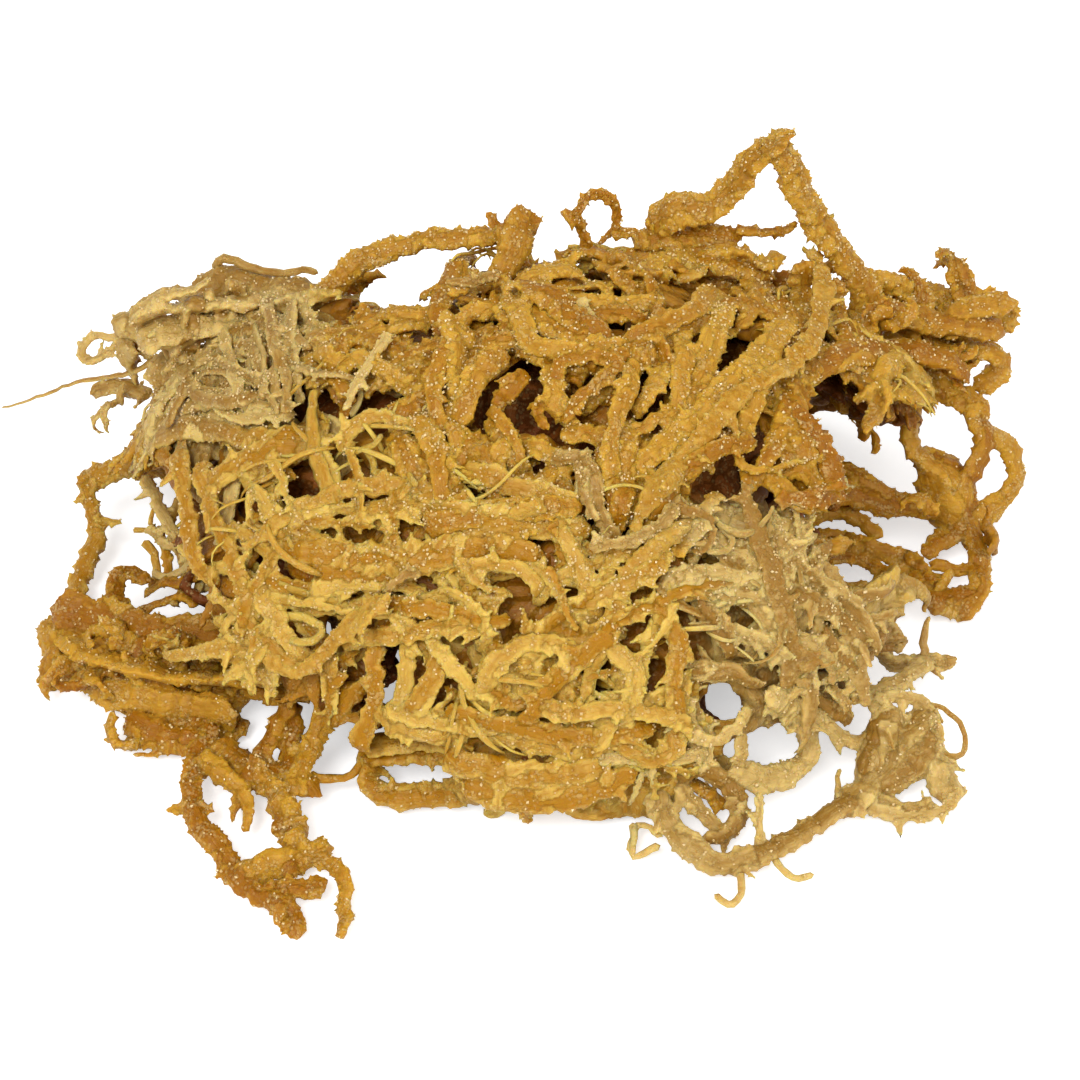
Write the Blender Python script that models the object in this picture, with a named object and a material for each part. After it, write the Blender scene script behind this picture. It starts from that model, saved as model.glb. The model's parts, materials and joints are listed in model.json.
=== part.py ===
"""A heap of dried sea moss: salted golden fronds, tangled and resting on each other.

Every frond is one closed solid, a tapering tube that follows a smooth curve.
Lengths are millimetres until a mesh is written, where MM turns them to metres.
"""

import math
import random

import bmesh
import bpy
import numpy as np

MM = 0.001

# The heap: a rounded crown, longer in front of its top than behind it.
CROWN_X = 2.0
CROWN_Y = 22.0
CROWN_REACH_SIDE = 100.0
CROWN_REACH_FRONT = 80.0
CROWN_REACH_BACK = 58.0
CROWN_HEIGHT = 72.0
CROWN_FULLNESS = 0.6

# The fronds: spacing of their rings, sides of a stem, air between two fronds, and their ends and forks.
RING_STEP = 8.0
INNER_RING_STEP = 10.0
CURVE_STEPS = 24
STEM_SIDES = 5
AIR = 0.45
TIP_LENGTH = 0.8
END_GIRTH = 0.62
FORK_GIRTH = (0.85, 0.5)

# The spurs: short pointed side branches that lean out and up, away from the stem's own run.
SPUR_LENGTH = (3.0, 6.5)
SPUR_GIRTH = 0.5
SPUR_LOW = (-1.0, -1.0, -0.3)
SPUR_HIGH = (1.0, 0.7, 1.0)
SPUR_SPREAD = 0.7
SPUR_TRIES = 12
SPUR_KIN_REACH = 14.0

# The fronds inside the heap: how many, the turns of each, and the part of the heap they fill.
INNER_COUNT = 6
INNER_TURNS = 18
INNER_RADIUS = 2.3
INNER_SPURS = 7
INNER_STRIDE = 34.0
INNER_STRIDE_WEIGHT = 0.35
INNER_TRIES = 60
INNER_SHARE = 0.82
INNER_COVER = 8.0
INNER_LEFT = -74.0
INNER_RIGHT = 54.0
INNER_LOWEST = 2.0

# Settling: how the fronds are moved clear of each other, in small steps of each kind.
SETTLE_ROUNDS = 420
FIRM_ROUNDS = 140
ROUNDS_PER_SEARCH = 10
SEARCH_MARGIN = 4.0
STIFFNESS = 0.16
HOLD = 0.01
SINK = 0.014
STRETCH_STEP = 0.25
PUSH_STEP = 0.42
PUSH_SHARING = 0.6
KIN_REACH = 5.0
REST_HEIGHT = 0.72
SMALL = 1e-6

COLOURS = {
    "pale": (0.55, 0.44, 0.21),
    "gold": (0.56, 0.33, 0.08),
    "amber": (0.45, 0.18, 0.02),
}
TONES = (0.85, 1.12)
ROUGHNESS = 0.45

draw = random.Random(7)
fronds = []


def crown(x, y):
    """Height of the heap's surface over a place on the table."""
    reach = CROWN_REACH_FRONT if y < CROWN_Y else CROWN_REACH_BACK
    out = ((x - CROWN_X) / CROWN_REACH_SIDE) ** 2 + ((y - CROWN_Y) / reach) ** 2
    return CROWN_HEIGHT * max(0.0, 1.0 - out) ** CROWN_FULLNESS


def laid(*places):
    """A route over the crown, each place given as x, y and the height over the surface."""
    return [(x, y, crown(x, y) + lift) for x, y, lift in places]


def frond(name, colour, radius, route, forks=(), spurs=0, girth=(1.0, 1.0), step=RING_STEP):
    """Adds a frond: its route, the routes of its forks, its number of spurs and its girth along it."""
    fronds.append(
        {
            "name": name,
            "colour": colour,
            "radius": radius,
            "route": route,
            "forks": forks,
            "spurs": spurs,
            "girth": girth,
            "step": step,
        }
    )


# Left side: an arch that stands clear of the heap, down to the table.
frond(
    "left_arch_top", "gold", 2.5,
    [(-50, 2, 57), (-66, 14, 49), (-80, 25, 35), (-90, 28, 24), (-96, 26, 19)],
    spurs=2,
)
frond(
    "left_arch_leg", "gold", 2.5,
    [(-97, 26, 15), (-95, 21, 11), (-94, 13, 8), (-97, 6, 5), (-99, -3, 5)],
    spurs=3,
)
frond(
    "left_curl", "amber", 2.1,
    [(-83, -10, 8), (-86, -3, 11), (-85, 4, 15), (-80, 6, 17), (-76, 2, 15), (-78, -4, 12)],
)

# Lower left: thick crusted fronds lying side by side as a mat.
frond(
    "left_mat_rim", "amber", 3.4,
    [(-98, -6, 8), (-96, -14, 5), (-87, -23, 4), (-77, -29, 4), (-67, -31, 5), (-57, -30, 6)],
    forks=[[(-67, -31, 5), (-70, -37, 3), (-77, -37, 3)]],
    spurs=1,
)
frond(
    "left_mat_middle", "amber", 3.4,
    [(-94, -5, 14), (-86, -15, 12), (-75, -22, 12), (-64, -25, 12), (-53, -27, 13)],
)
frond(
    "left_mat_inner", "amber", 3.0,
    [(-85, -8, 20), (-75, -15, 20), (-64, -19, 22), (-52, -22, 26)],
    forks=[[(-75, -15, 20), (-74, -6, 22), (-67, -2, 27)]],
)

# Front left: fronds that dangle past the heap and trail along the table.
frond(
    "dangling_outer", "gold", 2.5,
    [
        (-59, -34, 11), (-65, -41, 6), (-66, -49, 3), (-62, -56, 3),
        (-56, -64, 3), (-50, -70, 3), (-44, -75, 3), (-42, -82, 3),
    ],
    forks=[[(-56, -64, 3), (-50, -60, 6), (-44, -59, 9)]],
    spurs=2,
)
frond(
    "dangling_inner", "gold", 2.4,
    [
        (-51, -34, 15), (-49, -43, 10), (-47, -51, 7), (-43, -59, 5),
        (-38, -63, 6), (-34, -68, 5), (-33, -75, 3), (-35, -80, 3),
    ],
    forks=[[(-43, -59, 5), (-47, -67, 7), (-42, -71, 8)]],
    spurs=1,
)
frond(
    "dangling_middle", "gold", 2.3,
    [(-41, -31, 23), (-46, -37, 17), (-53, -43, 12), (-56, -49, 9), (-54, -56, 4)],
    forks=[[(-46, -37, 17), (-40, -41, 15), (-39, -48, 11), (-40, -54, 8)]],
    spurs=1,
)

# Front middle: a broad pale loop and the ragged rim beside it.
frond(
    "bottom_loop_lower", "pale", 2.9,
    [(-34, -38, 13), (-32, -45, 6), (-26, -49, 3), (-18, -50, 3), (-11, -48, 3), (-4, -45, 6)],
)
frond(
    "bottom_loop_upper", "pale", 2.7,
    [(-36, -32, 20), (-31, -37, 15), (-23, -41, 10), (-14, -41, 10), (-6, -38, 14), (0, -34, 19)],
    spurs=1,
)
frond(
    "bottom_rim", "gold", 2.8,
    [(-6, -51, 4), (2, -50, 4), (10, -47, 4), (18, -47, 4), (25, -45, 6), (32, -40, 11)],
    forks=[[(2, -50, 4), (-2, -56, 2)]],
    spurs=2,
)
frond(
    "front_ring", "pale", 2.7,
    laid((-14, -36, 2), (-8, -32, 4), (1, -33, 4), (5, -38, 4), (0, -43, 4), (-8, -43, 4)),
)
frond(
    "front_slant", "pale", 2.6,
    laid((8, -49, 2), (12, -42, 3), (17, -34, 3), (24, -28, 3), (32, -25, 3)),
    spurs=2,
)

# Front right: a long smooth frond bent like an elbow, a fat end, a curled blade and a crescent.
frond(
    "elbow_near", "pale", 2.7,
    [(23, -43, 11), (21, -52, 4), (23, -60, 3), (28, -66, 3), (35, -68, 3), (41, -64, 3)],
    spurs=1,
)
frond(
    "elbow_far", "pale", 2.7,
    [(44, -60, 3), (50, -55, 3), (56, -51, 4), (63, -50, 4), (72, -50, 4), (80, -48, 3)],
    forks=[[(50, -55, 3), (43, -52, 3), (41, -45, 3)]],
    girth=(0.9, 0.9, 1.2, 1.7, 1.5, 0.7),
)
frond(
    "curled_blade", "pale", 2.6,
    [(27, -41, 13), (32, -46, 8), (36, -51, 5), (34, -57, 3), (28, -59, 3)],
    girth=(0.9, 1.3, 1.3, 0.9),
)
frond(
    "crescent", "pale", 2.8,
    [(42, -31, 27), (50, -35, 16), (53, -41, 7), (49, -46, 4), (42, -47, 4), (35, -43, 6)],
    forks=[[(50, -35, 16), (55, -36, 14), (60, -37, 12)]],
)
frond(
    "pouch", "pale", 3.0,
    [(62, -25, 15), (65, -31, 11), (68, -37, 8), (70, -43, 7)],
    girth=(1.0, 1.9, 2.3, 1.7),
)
frond(
    "right_arm", "pale", 2.2,
    [(56, -24, 24), (63, -20, 14), (71, -16, 7), (77, -15, 5), (83, -13, 5)],
    forks=[[(77, -15, 5), (77, -9, 7), (78, -3, 8)]],
)
frond(
    "right_fall_left", "pale", 3.0,
    laid((36, -20, 3), (42, -27, 2), (45, -34, 2), (46, -42, 0)),
    spurs=2,
)
frond(
    "right_fall_right", "pale", 3.2,
    laid((46, -18, 1), (53, -25, 1), (58, -31, 1), (61, -37, -1)),
    spurs=1,
)

# Right side: amber fronds bent into rings that stand clear of the heap.
frond(
    "ring_limb", "amber", 2.7,
    [
        (64, 44, 49), (76, 45, 41), (87, 42, 35), (95, 37, 29),
        (102, 33, 22), (104, 28, 15), (98, 23, 12),
    ],
)
frond(
    "ring_inner", "amber", 2.3,
    [(89, 34, 25), (87, 26, 20), (90, 20, 14), (94, 15, 9), (96, 9, 5), (92, 3, 3), (86, 0, 3)],
    spurs=1,
)
frond(
    "ring_link", "amber", 2.5,
    [(76, 34, 33), (76, 27, 28), (80, 20, 24), (84, 14, 19), (87, 9, 13)],
    forks=[[(80, 20, 24), (71, 18, 22), (62, 17, 22), (54, 15, 23)]],
    girth=(0.8, 1.0, 1.5, 1.5, 1.0),
)
frond(
    "right_limb_back", "gold", 2.8,
    [(62, 50, 57), (71, 54, 51), (81, 57, 46), (91, 58, 43), (103, 59, 42)],
    forks=[[(81, 57, 46), (90, 53, 39), (100, 51, 35)]],
    spurs=3,
)
frond(
    "right_limb_front", "amber", 3.3,
    laid((50, 30, 1), (60, 34, 0)) + [(70, 37, 40), (80, 41, 35), (90, 46, 31)],
    forks=[[(70, 37, 40), (68, 29, 36), (70, 25, 29)]],
)
frond(
    "lower_bar", "amber", 2.3,
    [(52, 9, 15), (60, 15, 13), (68, 18, 12), (77, 15, 11), (85, 18, 10), (91, 22, 8)],
    spurs=1,
)
frond(
    "lower_ring", "amber", 2.4,
    [(51, 5, 11), (57, 13, 7), (64, 14, 5), (72, 10, 4), (80, 6, 4), (86, -5, 3)],
    forks=[[(57, 13, 7), (58, 4, 5), (66, 2, 5)]],
    girth=(0.9, 1.2, 1.3, 1.2, 0.9),
)
frond(
    "right_lump", "amber", 3.1,
    laid((46, 0, 1), (53, -6, 2), (56, -13, 1), (50, -18, 2), (42, -19, 0)),
    spurs=2,
)

# Top: the peak with its prong, a thin ring, a blunt knob and a toothed arch.
frond(
    "peak_left", "gold", 2.7,
    [(16, 46, 63), (24, 50, 67), (32, 52, 68), (39, 52, 71), (44, 52, 78), (48, 52, 89)],
    forks=[[(32, 52, 68), (40, 49, 63), (49, 48, 64)]],
    girth=(1.1, 1.2, 1.3, 1.1, 1.0, 0.4),
)
frond(
    "peak_right", "gold", 2.6,
    [(52, 53, 82), (56, 53, 74), (60, 51, 68), (65, 48, 62), (71, 46, 54), (79, 43, 47)],
    spurs=3,
)
frond(
    "top_ring", "gold", 1.5,
    [(11, 44, 58), (7, 46, 64), (6, 48, 70), (10, 49, 74), (15, 49, 71), (16, 47, 65), (13, 45, 61)],
    step=5.0,
)
frond(
    "knob", "gold", 3.4,
    [(-3, 50, 73), (-4, 48, 67)] + laid((-7, 36, 1), (-9, 24, 2)),
    forks=[[(-4, 48, 67), (-8, 50, 70), (-12, 50, 73)]],
    girth=(1.1, 0.9, 1.0, 0.9),
)
frond(
    "toothed_arch", "gold", 2.4,
    laid((-48, 22, 2)) + [(-44, 33, 57), (-38, 40, 62), (-30, 42, 65), (-21, 42, 66), (-13, 41, 68)],
    forks=[[(-13, 41, 68), (-15, 37, 63), (-21, 35, 60), (-28, 36, 60)]],
    spurs=5,
)
frond(
    "crest_bow", "gold", 3.1,
    laid((-10, 18, 3), (-6, 8, 3), (3, 2, 3), (14, 2, 3), (24, 6, 3), (32, 14, 3)),
    spurs=3,
)
frond(
    "crest_back", "amber", 3.0,
    laid((-8, 42, -3), (4, 40, -1), (16, 37, 0), (28, 36, 0), (40, 34, 0), (50, 26, -1)),
    spurs=2,
)
frond(
    "crest_middle", "amber", 3.0,
    laid((-6, 30, 0), (6, 27, 1), (18, 26, 1), (30, 24, 1), (40, 18, 1), (44, 8, 1)),
    spurs=2,
)
frond(
    "crest_left", "gold", 2.9,
    laid((-56, 24, 1), (-44, 27, 0), (-32, 25, 1), (-22, 21, 1), (-14, 13, 1)),
    spurs=2,
)

# Upper left: pale fronds, thin at their edges, with a loop and a long thin tail.
frond(
    "pale_edge_top", "pale", 2.3,
    [(-40, 50, 52), (-48, 54, 53), (-56, 55, 52), (-63, 56, 54), (-69, 56, 56)],
    spurs=2,
)
frond(
    "pale_edge_left", "pale", 2.3,
    [(-67, 52, 50), (-76, 55, 47), (-84, 55, 45), (-90, 53, 40), (-88, 49, 33), (-86, 43, 27)],
    spurs=2,
)
frond(
    "pale_broad_back", "pale", 3.4,
    [(-46, 42, 48), (-56, 47, 47), (-66, 49, 44), (-76, 49, 38), (-84, 46, 31)],
)
frond(
    "pale_broad_front", "pale", 3.4,
    [(-50, 33, 53), (-60, 37, 49), (-70, 40, 43), (-78, 39, 35), (-86, 35, 25)],
)
frond(
    "pale_loop", "pale", 1.7,
    [
        (-87, 47, 27), (-90, 50, 33), (-94, 51, 37), (-99, 51, 34),
        (-98, 50, 27), (-92, 47, 22), (-86, 42, 19),
    ],
    forks=[[(-98, 50, 27), (-105, 51, 25), (-112, 51, 20), (-119, 51, 17)]],
    step=6.0,
)

# The face of the heap: long fronds that run down from the peak, and antlers on the left.
frond(
    "long_fall", "pale", 2.9,
    [(57, 47, 62)]
    + laid((56, 32, 4), (54, 19, 4), (48, 6, 4), (39, -2, 4), (31, -12, 4), (23, -20, 3), (16, -29, 2)),
    spurs=3,
)
frond(
    "middle_fall", "gold", 2.8,
    laid((36, 12, 3), (32, 2, 3), (27, -8, 3), (20, -16, 3), (12, -22, 2)),
    spurs=3,
)
frond(
    "coiled_frond", "amber", 2.8,
    laid((24, -3, 1), (14, -1, 2), (5, -3, 2), (2, -10, 2), (8, -14, 2), (17, -12, 1)),
    spurs=1,
)
frond(
    "antler_stem", "pale", 2.8,
    laid((-76, -2, 1), (-66, 3, 2), (-55, 5, 3), (-44, 4, 3), (-33, 7, 3)),
    forks=[laid((-44, 4, 3), (-41, -4, 5), (-39, -13, 4), (-41, -20, 3))],
    spurs=3,
)
frond(
    "antler_side", "pale", 2.7,
    laid((-62, -3, 2), (-60, -12, 2), (-61, -21, 2), (-62, -30, 1)),
    forks=[laid((-60, -12, 2), (-52, -14, 3), (-46, -11, 4))],
    spurs=1,
)
frond(
    "long_span", "pale", 2.8,
    laid((-54, -22, 2), (-44, -19, 3), (-33, -19, 3), (-21, -22, 3), (-10, -27, 2), (2, -27, 2)),
    spurs=3,
)
frond(
    "slant_frond", "gold", 2.7,
    laid((-29, 3, 2), (-27, -8, 4), (-22, -17, 5), (-17, -26, 3)),
    spurs=1,
)
frond(
    "toothed_flap", "gold", 3.2,
    laid((-10, 12, 1), (-15, 5, 2), (-18, -4, 2), (-16, -13, 1)),
    spurs=3,
)
frond(
    "u_bend", "pale", 2.6,
    laid((-56, -25, 2), (-53, -34, 2), (-46, -40, 2), (-37, -39, 3), (-27, -35, 3)),
    spurs=1,
)
frond(
    "left_shoulder", "gold", 2.8,
    laid((-50, 14, 1), (-40, 14, 1), (-31, 13, 1), (-22, 6, 0), (-12, -2, 0)),
    spurs=2,
)


def inner_places(count):
    """Places spread evenly through the inside of the heap, each about a stride from the last."""
    taken = [(CROWN_X, CROWN_Y, CROWN_HEIGHT)]
    for _ in range(count):
        best_score, best_place = -math.inf, None
        for _ in range(INNER_TRIES):
            x = draw.uniform(INNER_LEFT, INNER_RIGHT)
            y = CROWN_Y + draw.uniform(-CROWN_REACH_FRONT, CROWN_REACH_BACK) * INNER_SHARE
            top = crown(x, y) * INNER_SHARE - INNER_COVER
            if top < INNER_LOWEST:
                continue
            place = (x, y, draw.uniform(INNER_LOWEST, top))
            room = min(math.dist(place, other) for other in taken)
            score = room - INNER_STRIDE_WEIGHT * abs(math.dist(place, taken[-1]) - INNER_STRIDE)
            if score > best_score:
                best_score, best_place = score, place
        taken.append(best_place)
    return taken[1:]


# The inside of the heap: long fronds that wander through it and carry those above.
inner_route = inner_places(INNER_COUNT * INNER_TURNS)
for number in range(INNER_COUNT):
    frond(
        f"inner_frond_{number + 1}", "amber", INNER_RADIUS,
        inner_route[number * INNER_TURNS : (number + 1) * INNER_TURNS],
        spurs=INNER_SPURS,
        step=INNER_RING_STEP,
    )


def smooth_route(route, step):
    """Points at even steps along a smooth curve through the route's own points."""
    route = np.array(route, float)
    ends = np.vstack([2 * route[0] - route[1], route, 2 * route[-1] - route[-2]])
    share = np.linspace(0, 1, CURVE_STEPS, endpoint=False)[:, None]
    dense = []
    for before, start, end, after in zip(ends, ends[1:], ends[2:], ends[3:]):
        rise = end - before
        turn = 2 * before - 5 * start + 4 * end - after
        twist = 3 * start - before - 3 * end + after
        dense.append(0.5 * (2 * start + rise * share + turn * share**2 + twist * share**3))
    dense = np.vstack(dense + [route[-1:]])
    along = np.concatenate([[0], np.cumsum(np.linalg.norm(np.diff(dense, axis=0), axis=1))])
    count = max(2, round(along[-1] / step)) + 1
    even = np.linspace(0, along[-1], count)
    return np.stack([np.interp(even, along, dense[:, axis]) for axis in range(3)], axis=1)


def closest_shares(start, span, other_start, other_span):
    """How far along each segment, from 0 to 1, it comes closest to the other one of its pair."""
    between = start - other_start
    size, crossing = (span * span).sum(1), (span * other_span).sum(1)
    other_size = (other_span * other_span).sum(1)
    lead, other_lead = (span * between).sum(1), (other_span * between).sum(1)
    spread = np.maximum(size * other_size - crossing * crossing, SMALL)
    share = np.clip((crossing * other_lead - other_size * lead) / spread, 0, 1)
    other_share = np.clip((crossing * share + other_lead) / other_size, 0, 1)
    share = np.clip((crossing * other_share - lead) / size, 0, 1)
    return share, other_share


class Tangle:
    """All fronds as chains of points, moved clear of each other and of the table."""

    def __init__(self):
        self.points = np.zeros((0, 3))
        self.radii = np.zeros(0)
        self.owner = np.zeros(0, int)
        self.along = np.zeros(0)
        self.chains = []
        self.webs = []

    def add_chain(self, points, radii, owner, start_along, root=None):
        """Adds a chain. A fork starts at a point of its stem, its root."""
        first = len(self.points)
        steps = np.linalg.norm(np.diff(points, axis=0), axis=1)
        along = start_along + np.concatenate([[0], np.cumsum(steps)])
        index = np.arange(first, first + len(points))
        if root is not None:
            points, radii, along = points[1:], radii[1:], along[1:]
            index = np.concatenate([[root], index[:-1]])
        self.points = np.vstack([self.points, points])
        self.radii = np.concatenate([self.radii, radii])
        self.owner = np.concatenate([self.owner, np.full(len(points), owner)])
        self.along = np.concatenate([self.along, along])
        self.chains.append(index)
        return index

    def add_branch(self, stem, root, points, radii, owner):
        """Adds a fork or a spur, and the web between it and the side of the stem that it leans to."""
        run = self.points[stem[root + 1]] - self.points[stem[root - 1]]
        lean = 1 if run @ (points[1] - points[0]) > 0 else -1
        index = self.add_chain(points, radii, owner, self.along[stem[root]], stem[root])
        self.webs.append(np.array([stem[root + lean], index[1]]))
        return {"points": index, "side": root if lean > 0 else root - 1}

    def segments(self):
        """First and last point of every segment of every chain and web."""
        lines = self.chains + self.webs
        first = np.concatenate([line[:-1] for line in lines])
        last = np.concatenate([line[1:] for line in lines])
        return first, last

    def far_pairs(self, first, last, lengths, thick):
        """Pairs of segments that aren't neighbours on one frond, and how near their middles may matter."""
        one, other = np.triu_indices(len(first), 1)
        same = self.owner[last[one]] == self.owner[last[other]]
        apart = np.abs(self.along[last[one]] - self.along[last[other]])
        kin = same & (apart < KIN_REACH * (thick[one] + thick[other]))
        for end in (first, last):
            kin |= (end[one] == first[other]) | (end[one] == last[other])
        one, other = one[~kin], other[~kin]
        reach = thick[one] + thick[other] + 0.5 * (lengths[one] + lengths[other]) + SEARCH_MARGIN
        return one, other, reach

    def settle(self):
        """Moves the fronds clear of each other and sinks them a little, keeping lengths and bends."""
        first, last = self.segments()
        triples = [(chain[:-2], chain[1:-1], chain[2:]) for chain in self.chains if len(chain) > 2]
        before, inner, after = (np.concatenate(part) for part in zip(*triples))
        rest = self.points.copy()
        rest_bend = 0.5 * (rest[before] + rest[after]) - rest[inner]
        lengths = np.linalg.norm(rest[last] - rest[first], axis=1)
        thick = np.maximum(self.radii[first], self.radii[last])
        one, other, reach = self.far_pairs(first, last, lengths, thick)
        for turn in range(SETTLE_ROUNDS + FIRM_ROUNDS):
            if turn % ROUNDS_PER_SEARCH == 0:
                centre = 0.5 * (self.points[first] + self.points[last])
                close = np.linalg.norm(centre[one] - centre[other], axis=1) < reach
                near_one, near_other = one[close], other[close]
            if turn < SETTLE_ROUNDS:
                bend = 0.5 * (self.points[before] + self.points[after]) - self.points[inner]
                np.add.at(self.points, inner, STIFFNESS * (bend - rest_bend))
                self.points += HOLD * (rest - self.points)
                self.points[:, 2] -= SINK
            span = self.points[last] - self.points[first]
            size = np.linalg.norm(span, axis=1)
            pull = (STRETCH_STEP * (size - lengths) / size)[:, None] * span
            np.add.at(self.points, first, pull)
            np.add.at(self.points, last, -pull)
            self.push_apart(first, last, near_one, near_other)
            self.points[:, 2] = np.maximum(self.points[:, 2], REST_HEIGHT * self.radii)

    def push_apart(self, first, last, one, other):
        """One step of moving pairs of segments that are too close away from each other."""
        start, other_start = self.points[first[one]], self.points[first[other]]
        span = self.points[last[one]] - start
        other_span = self.points[last[other]] - other_start
        share, other_share = closest_shares(start, span, other_start, other_span)
        need = AIR + self.radius_at(first[one], last[one], share)
        need += self.radius_at(first[other], last[other], other_share)
        gap = (start + share[:, None] * span) - (other_start + other_share[:, None] * other_span)
        distance = np.maximum(np.linalg.norm(gap, axis=1), SMALL)
        short = np.flatnonzero(distance < need)
        push = (PUSH_STEP * (need - distance) / distance)[short, None] * gap[short]
        moved = np.zeros_like(self.points)
        hits = np.zeros(len(self.points))
        for pair, where, way in ((one, share, 1.0), (other, other_share, -1.0)):
            pair, where = pair[short], where[short, None]
            even = where**2 + (1 - where) ** 2
            for index, part in ((first[pair], 1 - where), (last[pair], where)):
                shift = way * part / even * push
                np.add.at(moved, index, shift)
                np.add.at(hits, index, np.linalg.norm(shift, axis=1) > SMALL)
        self.points += moved / np.maximum(1.0, hits * PUSH_SHARING)[:, None]

    def radius_at(self, first, last, share):
        return (1 - share) * self.radii[first] + share * self.radii[last]

    def has_room(self, stem, root, tip, radius, owner):
        """Whether a spur, and its web on either side, would stay clear of everything but its stem."""
        first, last = self.segments()
        same = self.owner[last] == owner
        kin = same & (np.abs(self.along[last] - self.along[stem[root]]) < SPUR_KIN_REACH)
        first, last = first[~kin], last[~kin]
        start, span = self.points[first], self.points[last] - self.points[first]
        for foot in (stem[root - 1], stem[root], stem[root + 1]):
            foot_start = np.broadcast_to(self.points[foot], start.shape)
            foot_span = np.broadcast_to(tip - self.points[foot], start.shape)
            share, foot_share = closest_shares(start, span, foot_start, foot_span)
            gap = (start + share[:, None] * span) - (foot_start + foot_share[:, None] * foot_span)
            need = AIR + self.radius_at(first, last, share)
            need += (1 - foot_share) * self.radii[foot] + foot_share * radius
            if (np.linalg.norm(gap, axis=1) < need).any():
                return False
        return True


def girth_along(data, count):
    """Radius at each ring: the frond's own girth along it, narrower at both ends."""
    girth = data["girth"]
    known = np.linspace(0, 1, len(girth))
    radii = data["radius"] * np.interp(np.linspace(0, 1, count), known, girth)
    radii[[0, -1]] *= END_GIRTH
    return radii


def lay_out():
    """Chains of all fronds in the tangle, with the forks of each."""
    tangle = Tangle()
    for owner, data in enumerate(fronds):
        stem = smooth_route(data["route"], data["step"])
        data["stem"] = tangle.add_chain(stem, girth_along(data, len(stem)), owner, 0.0)
        data["branches"] = []
        for route in data["forks"]:
            root = int(np.argmin(np.linalg.norm(stem - np.array(route[0]), axis=1)))
            root = min(max(root, 1), len(stem) - 2)
            branch = smooth_route([stem[root]] + list(route[1:]), data["step"])
            thick = np.linspace(*FORK_GIRTH, len(branch)) * data["radius"]
            data["branches"].append(tangle.add_branch(data["stem"], root, branch, thick, owner))
    return tangle


def unit(vector):
    return vector / np.linalg.norm(vector)


def add_spurs(tangle, owner, data):
    """Short side branches, only where they have room among the settled fronds."""
    stem = data["stem"]
    used = [int(np.flatnonzero(stem == branch["points"][0])[0]) for branch in data["branches"]]
    wanted = len(used) + data["spurs"]
    for _ in range(SPUR_TRIES * data["spurs"]):
        if len(used) == wanted:
            break
        root = draw.randrange(1, len(stem) - 1)
        way = np.array([draw.uniform(low, high) for low, high in zip(SPUR_LOW, SPUR_HIGH)])
        length = draw.uniform(*SPUR_LENGTH)
        if any(abs(root - taken) < 2 for taken in used):
            continue
        run = unit(tangle.points[stem[root + 1]] - tangle.points[stem[root - 1]])
        way = unit(way - SPUR_SPREAD * run * (way @ run))
        start = tangle.points[stem[root]]
        tip = start + way * (tangle.radii[stem[root]] + length)
        radius = SPUR_GIRTH * data["radius"]
        if tip[2] < radius or not tangle.has_room(stem, root, tip, radius, owner):
            continue
        used.append(root)
        branch = tangle.add_branch(stem, root, np.array([start, tip]), np.full(2, radius), owner)
        data["branches"].append(branch)


def stem_rings(points, radii):
    """Corners of each ring of a stem, a flat side down at its start, carried along without twisting."""
    runs = np.diff(points, axis=0)
    runs /= np.linalg.norm(runs, axis=1)[:, None]
    facing = np.vstack([runs[:1], runs[:-1] + runs[1:], runs[-1:]])
    side = np.cross(runs[0], (0.0, SMALL, 1.0))
    start = math.pi / 2 - math.pi / STEM_SIDES
    turns = [start + 2 * math.pi * corner / STEM_SIDES for corner in range(STEM_SIDES)]
    rings = []
    for point, radius, ahead in zip(points, radii, facing):
        ahead = unit(ahead)
        side = unit(side - ahead * (side @ ahead))
        down = np.cross(ahead, side)
        rings.append([point + radius * (math.cos(t) * side + math.sin(t) * down) for t in turns])
    return rings


def skin(bm, lower, upper):
    """Side faces between two rings of corners, joined in order."""
    faces = []
    for corner in range(len(lower)):
        after = (corner + 1) % len(lower)
        faces.append(bm.faces.new((lower[corner], lower[after], upper[after], upper[corner])))
    return faces


def close_end(bm, ring, tip):
    """A short pointed end over a ring."""
    point = bm.verts.new(tip)
    for corner in range(len(ring)):
        bm.faces.new((ring[corner], ring[(corner + 1) % len(ring)], point))


def square_ring(bm, ring, point, radius, ahead, along):
    """Four new corners round a point, each on the side of the corner of the ring before it."""
    across = np.cross(ahead, along)
    corners = np.array([vertex.co[:] for vertex in ring])
    new_ring = []
    for offset in corners - corners.mean(axis=0):
        sideways = math.copysign(1, offset @ along) * along + math.copysign(1, offset @ across) * across
        new_ring.append(bm.verts.new(point + radius * math.sqrt(0.5) * sideways))
    return new_ring


def grow_branch(bm, face, points, radii):
    """Grows a four-sided branch out of a side face of its stem, to a pointed end."""
    ring = list(face.verts)
    corners = np.array([vertex.co[:] for vertex in ring])
    bm.faces.remove(face)
    edges = [corners[1] - corners[0], corners[2] - corners[1]]
    along = max(edges, key=np.linalg.norm)
    last = corners.mean(axis=0)
    for number in range(1, len(points)):
        point = points[number]
        ahead = unit(point - last)
        if number + 1 < len(points):
            ahead = unit(ahead + unit(points[number + 1] - point))
        along = unit(along - ahead * (along @ ahead))
        new_ring = square_ring(bm, ring, point, radii[number], ahead, along)
        skin(bm, ring, new_ring)
        ring, last = new_ring, point
    close_end(bm, ring, points[-1] + ahead * radii[-1] * TIP_LENGTH)


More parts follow.
